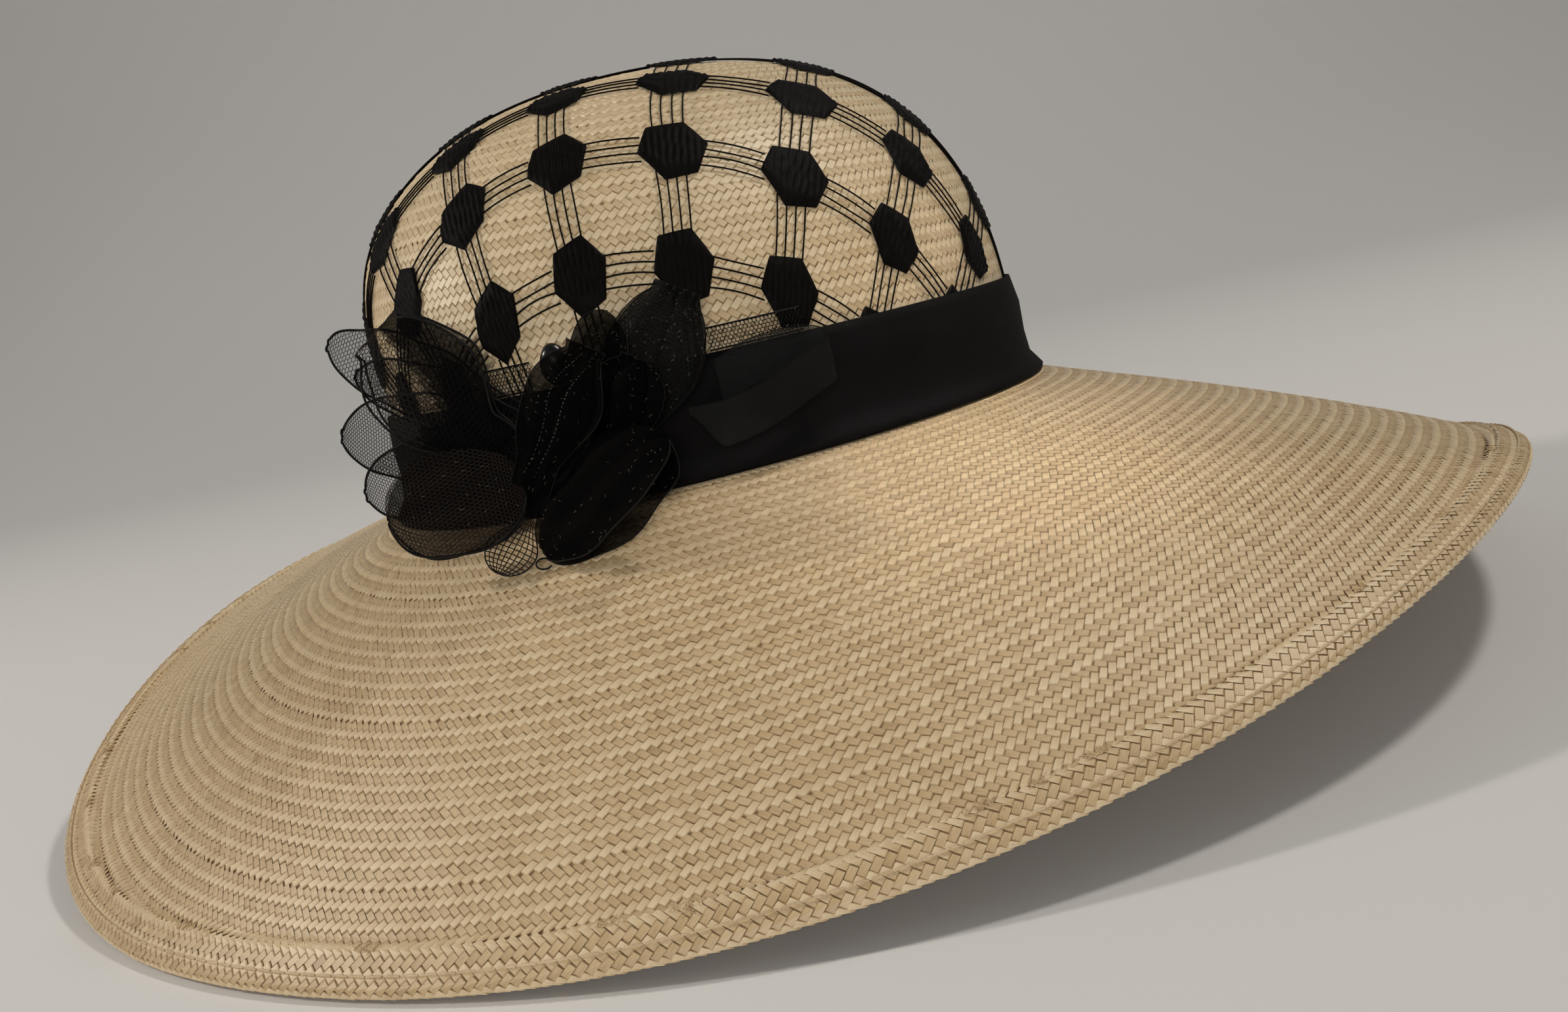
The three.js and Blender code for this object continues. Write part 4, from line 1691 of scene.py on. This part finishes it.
    def threads(self, petal: Petal) -> MeshBuffer:
        """Lay a petal's threads: coarse net along and across it, or six-sided cells.

        Args:
            petal: the petal's sizes.

        Returns:
            The threads.
        """
        buffer = MeshBuffer()
        if petal.cloth is Cloth.GRID:
            steps = np.linspace(0, 1, 30)
            lines = [(np.full_like(steps, v), steps) for v in np.linspace(-1, 1, 10)]
            lines += [(2 * steps - 1, np.full_like(steps, strip)) for strip in np.linspace(0.08, 1, 13)]
            for v, strip in lines:
                self.cord(buffer, petal.place(v, strip)[None], 0.13, 4)
            return buffer
        cut = PetalCut(self, petal)
        bare = petal.cloth is Cloth.DENSE
        net = Net(petal.cell, petal.thread)
        net.lay(buffer, petal.width, petal.strip, cut.place, cut.keep, petal.sparks, bare)
        return buffer

    def film(self, petal: Petal) -> MeshBuffer:
        """Lay the thin film that stands for threads too fine to build.

        Args:
            petal: the petal's sizes.

        Returns:
            The film, with nothing in it for coarse net.
        """
        buffer = MeshBuffer()
        if petal.cloth is Cloth.GRID:
            return buffer
        columns, rows = 25, 73 if petal.puff else 41
        v, strip = np.meshgrid(np.linspace(-1, 1, columns), np.linspace(0, 1, rows))
        points = self.world(petal.place(v, strip))
        faces = grid_faces(rows, columns)
        if petal.cloth is Cloth.MIXED:
            along, _ = petal.line(strip)
            edge = 0.43 + 0.62 * smoothstep((v + 0.15) / 0.45) + 0.05 * np.sin(11 * v + 2 * strip)
            faces = faces[((along - edge).ravel()[faces] < 0).all(axis=1)]
        flat = np.stack([v * petal.width / 2, strip * petal.strip], -1).reshape(-1, 2)
        buffer.add(points.reshape(-1, 3), faces, 0.5, flat)
        return buffer

    def edging(self, petal: Petal) -> MeshBuffer:
        """Lay the cord along a petal's edges.

        Args:
            petal: the petal's sizes.

        Returns:
            The cords.
        """
        buffer = MeshBuffer()
        steps = np.linspace(0, 1, 90 if petal.puff else 50)
        lines = [(np.full_like(steps, side), steps) for side in petal.corded]
        if not petal.puff:
            lines.append((np.linspace(-1, 1, 50), np.ones(50)))
        for v, strip in lines:
            self.cord(buffer, petal.place(v, strip)[None], petal.cord, 6)
        return buffer

    def make_petal(self, petal: Petal, finishes: Finishes) -> None:
        """Build one petal with its cloth and its corded edge.

        Args:
            petal: the petal's sizes.
            finishes: the hat's materials.
        """
        threads, film = self.threads(petal), self.film(petal)
        pieces = []
        if film.count:
            films = {Cloth.VEIL: finishes.veil, Cloth.DENSE: finishes.dense, Cloth.NET: finishes.haze}
            thin = finishes.grey_sheer if petal.grey else films.get(petal.cloth, finishes.sheer)
            pieces.append(film.build(petal.name + "_cloth", thin))
        if threads.count:
            brown = petal.oval or petal.cloth in (Cloth.GRID, Cloth.MIXED)
            ending = "_glints" if petal.cloth is Cloth.DENSE else "_mesh"
            pieces.append(threads.build(petal.name + ending, finishes.brown_net if brown else finishes.net))
        cord = self.edging(petal).build(petal.name + "_cord", finishes.cord)
        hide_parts(petal.name)
        for piece in pieces:
            if not piece.name.endswith("_glints"):
                declare_cloth(piece, petal.width, petal.strip, Held.GATHERED if not petal.puff else Held.FOLDED)

    def thread_loop(self, finishes: Finishes) -> None:
        """Let a short end of cord hang in a loop under the flower.

        Args:
            finishes: the hat's materials.
        """
        turn = np.linspace(0.6, TURN - 0.6, 24)
        path = np.stack([-7.9 + 1.8 * np.cos(turn), -23.4 - 1.2 * np.sin(turn), 15.6 + 0 * turn], -1)
        buffer = MeshBuffer()
        self.cord(buffer, path[None], 0.2, 6)
        buffer.build("flower_thread_loop", finishes.cord)

    def selvedges(self, petal: Petal, finishes: Finishes) -> None:
        """Run two stitched lines up the central fold, their dashes painted pale as glints.

        Args:
            petal: the fold that carries them.
            finishes: the hat's materials.
        """
        buffer = MeshBuffer()
        random = np.random.default_rng(self.seed)
        count = 34
        part = np.linspace(0.1, 0.5, 3)
        for v in (-0.3, 0.15):
            place = np.arange(count) + random.uniform(0, 0.4, count)
            strip = (place[:, None] + part[None, :]) / count * 0.84 + 0.06
            aside = v + 0.5 * (strip - 0.4) + 0.16 * np.sin(8 * strip + v)
            lines = petal.place(aside, strip) + np.array([0, 0, 0.35])
            self.cord(buffer, lines, 0.085, 5, np.repeat(random.uniform(0.2, 1.0, count), 15))
        piece = buffer.build("fold_selvedge_stitches", finishes.glint)

    def make_bud(self, finishes: Finishes) -> None:
        """Build the small bud: satin turned round on itself in a few folds.

        Args:
            finishes: the hat's materials.
        """
        rows, columns = 29, 48
        lifts, turns = np.linspace(-math.pi / 2, math.pi / 2, rows), np.arange(columns) / columns * TURN
        lift, round_ = np.meshgrid(lifts, turns, indexing="ij")
        fold = 1 + 0.05 * np.sin(3 * round_ + 2.4 * lift) * np.cos(lift)
        across = np.cos(lift) * np.cos(round_) * fold
        points = np.stack([across, np.sin(lift), np.cos(lift) * np.sin(round_) * fold], -1)
        points = points * np.array(self.bud_half) + np.array(self.bud_at)
        buffer = MeshBuffer()
        buffer.add(self.world(points).reshape(-1, 3), grid_faces(rows, columns, ring=True), 0.5)
        piece = buffer.build("bud_satin", finishes.satin)
        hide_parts("bud")

    def make(self, finishes: Finishes) -> None:
        """Build every petal, the selvedges, the loose loop and the bud.

        Args:
            finishes: the hat's materials.
        """
        for petal in self.petals:
            self.make_petal(petal, finishes)
        self.selvedges(self.petals[-1], finishes)
        self.thread_loop(finishes)
        self.make_bud(finishes)


@dataclass(frozen=True)
class PetalCut:
    """The flat cut of a petal's cloth, and where it lies on the flower."""

    flower: Flower
    petal: Petal

    def place(self, x: np.ndarray, y: np.ndarray) -> tuple[np.ndarray, np.ndarray]:
        """Bring flat places of the cut to the hat.

        Args:
            x: places across the cut.
            y: places along it.

        Returns:
            The points and the directions off the cloth.
        """
        petal = self.petal
        strip = y / petal.strip
        along, _ = petal.line(np.clip(strip, 0, 1))
        v = (x - petal.width / 2) / (petal.width / 2 * petal.share(along))
        points = petal.place(v, strip)
        round_ = petal.place(v + 0.02, strip) - points
        onward = petal.place(v, np.minimum(strip + 0.01, 1)) - petal.place(v, np.maximum(strip - 0.01, 0))
        return self.flower.world(points), self.flower.aim(unit(np.cross(round_, onward)))

    def keep(self, x: np.ndarray, y: np.ndarray) -> np.ndarray:
        """Say which flat places are on the cloth.

        Args:
            x: places across the cut.
            y: places along it.

        Returns:
            True for each place on the cloth, and for mixed cloth only in its front layer.
        """
        petal = self.petal
        along, _ = petal.line(np.clip(y / petal.strip, 0, 1))
        inside = np.abs(x - petal.width / 2) <= petal.width / 2 * petal.share(along)
        return inside & (y < petal.strip * (0.55 if petal.cloth is Cloth.MIXED else 1.1))


@dataclass
class RibbonCurl:
    """The loop of sheer ribbon on the band, to the right of the flower."""

    form: CrownForm
    pose: HeadPose
    width: float = 10.0
    height: float = 11.0
    rows: tuple[Triple, ...] = (
        (41, 9, 6), (45, 8, 8.2), (51, 10, 8.8), (57.5, 14, 8.2),
        (62, 17, 6.7), (59.5, 20, 4), (52, 20, 4), (46, 17, 4),
    )

    def line(self, share: np.ndarray) -> np.ndarray:
        """Follow a smooth line through the rows.

        Args:
            share: from 0 to 1 along the line.

        Returns:
            Angle, height and distance off the crown at each place.
        """
        rows = np.array(self.rows, float)
        rows = np.concatenate([[2 * rows[0] - rows[1]], rows, [2 * rows[-1] - rows[-2]]])
        place = np.clip(share, 0, 1) * (len(self.rows) - 1)
        low = np.clip(place.astype(int), 0, len(self.rows) - 2)
        t = (place - low)[:, None]
        a, b, c, d = (rows[low + step] for step in range(4))
        return 0.5 * (2 * b + (c - a) * t + (2 * a - 5 * b + 4 * c - d) * t**2 + (3 * b - a - 3 * c + d) * t**3)

    def make(self, finishes: Finishes) -> None:
        """Build the ribbon and the bright threads of its edges.

        Args:
            finishes: the hat's materials.
        """
        steps, columns = 81, 9
        at = self.line(np.linspace(0, 1, steps))
        rise = np.full(steps, float(self.form.rise_at(self.height)))
        angle = np.radians(at[:, 0])
        base = self.form.off(angle, rise, at[:, 2])
        grid = np.repeat(base[:, None], columns, axis=1)
        taper = 0.2 + 0.8 * smoothstep(np.linspace(0, 1, steps) / 0.14)
        across = np.linspace(-0.5, 0.5, columns)[None, :] * taper[:, None] + 0.4 * (1 - taper)[:, None]
        grid[..., 2] = at[:, 1][:, None] + across * self.width
        world = self.pose.place(grid)
        buffer = MeshBuffer()
        flat = np.stack(np.meshgrid(np.linspace(0, 60, steps), np.linspace(0, 10, columns), indexing="ij"), -1)
        buffer.add(world.reshape(-1, 3), grid_faces(steps, columns), 0.55, flat.reshape(-1, 2))
        piece = buffer.build("ribbon_curl_sheer", finishes.grey_ribbon)
        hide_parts("ribbon_curl")
        declare_cloth(piece, self.width, 64, Held.FOLDED)
        edge = MeshBuffer()
        normals = self.pose.aim(self.form.normal(angle, rise))
        for column in (0, columns - 1):
            made, faces = tubes(world[None, :, column], normals[None], 0.13, 5)
            edge.add(made, faces, 0.35)
        piece = edge.build("ribbon_curl_selvedge", finishes.grey_ribbon)


@dataclass
class Studio:
    """The floor, the lights and the camera."""

    elevation: float = 9.9
    azimuth: float = 37.56
    roll: float = 11.93
    distance: float = 494.83
    focal: float = 2609.86
    image_width: int = 2387
    aim: tuple[float, float] = (5.07, 45.39)

    def camera(self) -> None:
        """Put the camera where the photograph was taken from."""
        lift, turn, roll = (math.radians(value) for value in (self.elevation, self.azimuth, self.roll))
        back = np.array([math.sin(turn) * math.cos(lift), -math.cos(turn) * math.cos(lift), math.sin(lift)])
        right = np.array([math.cos(turn), math.sin(turn), 0])
        up = np.cross(back, right)
        level = math.cos(roll) * right - math.sin(roll) * up
        upright = math.sin(roll) * right + math.cos(roll) * up
        place = right * self.aim[0] + np.array([0, 0, self.aim[1]]) + back * self.distance
        data = bpy.data.cameras.new("camera")
        data.sensor_width = 36
        data.lens = self.focal / self.image_width * 36
        data.clip_start = 0.01
        made = bpy.data.objects.new("camera", data)
        bpy.context.scene.collection.objects.link(made)
        made.matrix_world = pose_matrix(np.stack([level, upright, back], -1), place * MM)
        bpy.context.scene.camera = made

    def light(
        self,
        name: str,
        spot: Triple,
        size: float,
        power: float,
        colour: Triple,
        spread: float = 180,
        target: Triple = (0.0, 0.0, 0.08),
    ) -> None:
        """Hang one soft light that looks at the hat.

        Args:
            name: the light's name.
            spot: its place in metres.
            size: the side of its square.
            power: its strength in watts.
            colour: its colour.
            spread: how wide it shines, in degrees.
            target: the place it looks at, in metres.
        """
        data = bpy.data.lights.new(name, "AREA")
        data.spread = math.radians(spread)
        data.size = size
        data.energy = power
        data.color = colour
        made = bpy.data.objects.new(name, data)
        bpy.context.scene.collection.objects.link(made)
        back = unit(np.array(spot) - np.array(target))
        right = unit(np.cross((0, 0, 1), back))
        ways = np.stack([right, np.cross(back, right), back], -1)
        made.matrix_world = pose_matrix(ways, spot)

    def floor(self) -> None:
        """Lay a pale floor that turns up into a backdrop far behind the hat."""
        turn = math.radians(self.azimuth)
        away = np.array([-math.sin(turn), math.cos(turn), 0])
        right = np.array([math.cos(turn), math.sin(turn), 0])
        bend = np.linspace(0, math.pi / 2, 25)
        reach = np.concatenate([[-3000, 900], 900 + 900 * np.sin(bend[1:]), [1800]])
        rise = np.concatenate([[0, 0], 900 - 900 * np.cos(bend[1:]), [4500]])
        sides = np.linspace(-4500, 4500, 10)
        line = reach[:, None] * away + rise[:, None] * np.array([0, 0, 1])
        points = line[:, None] + sides[None, :, None] * right
        buffer = MeshBuffer()
        buffer.add(points.reshape(-1, 3), grid_faces(len(reach), len(sides)))
        buffer.build("floor", FloorFinish().material(), rides=False)

    def make(self) -> None:
        """Set up the whole studio."""
        self.camera()
        self.floor()
        world = bpy.data.worlds.new("studio_air")
        bpy.context.scene.world = world
        world.use_nodes = True
        world.node_tree.nodes["Background"].inputs["Color"].default_value = (1.0, 0.98, 0.96, 1)
        world.node_tree.nodes["Background"].inputs["Strength"].default_value = 0.15
        self.light("key_behind", (0.62, 0.58, 1.38), 0.16, 7.2, (1.0, 0.94, 0.85))
        self.light("key_left", (-1.0, -0.78, 0.9), 0.12, 7.4, (1.0, 0.93, 0.84))
        self.light("front_fill", (0.9, -1.35, 0.4), 0.5, 1.45, (1.0, 0.96, 0.91), 75)
        self.light("sheen_behind", (0.42, 0.2, 1.2), 0.05, 0.015, (1.0, 0.95, 0.87), 7, (0.105, -0.045, 0.07))
        bpy.context.scene.view_settings.view_transform = "Standard"


def main() -> None:
    """Build the hat piece by piece and set the studio."""
    logging.basicConfig(level=logging.INFO, format="%(name)s %(message)s")
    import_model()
    crown, pose = CrownForm(), HeadPose()
    brim = BrimForm(crown, pose)
    Studio().make()
    finishes = Finishes.make()
    Brim(brim).make(finishes)
    Crown(crown, pose).make(finishes)
    LaceCover(crown, pose).make(finishes)
    Band(crown, brim, pose).make(finishes)
    Flower(crown, pose).make(finishes)
    RibbonCurl(crown, pose).make(finishes)


if __name__ == "__main__":
    main()
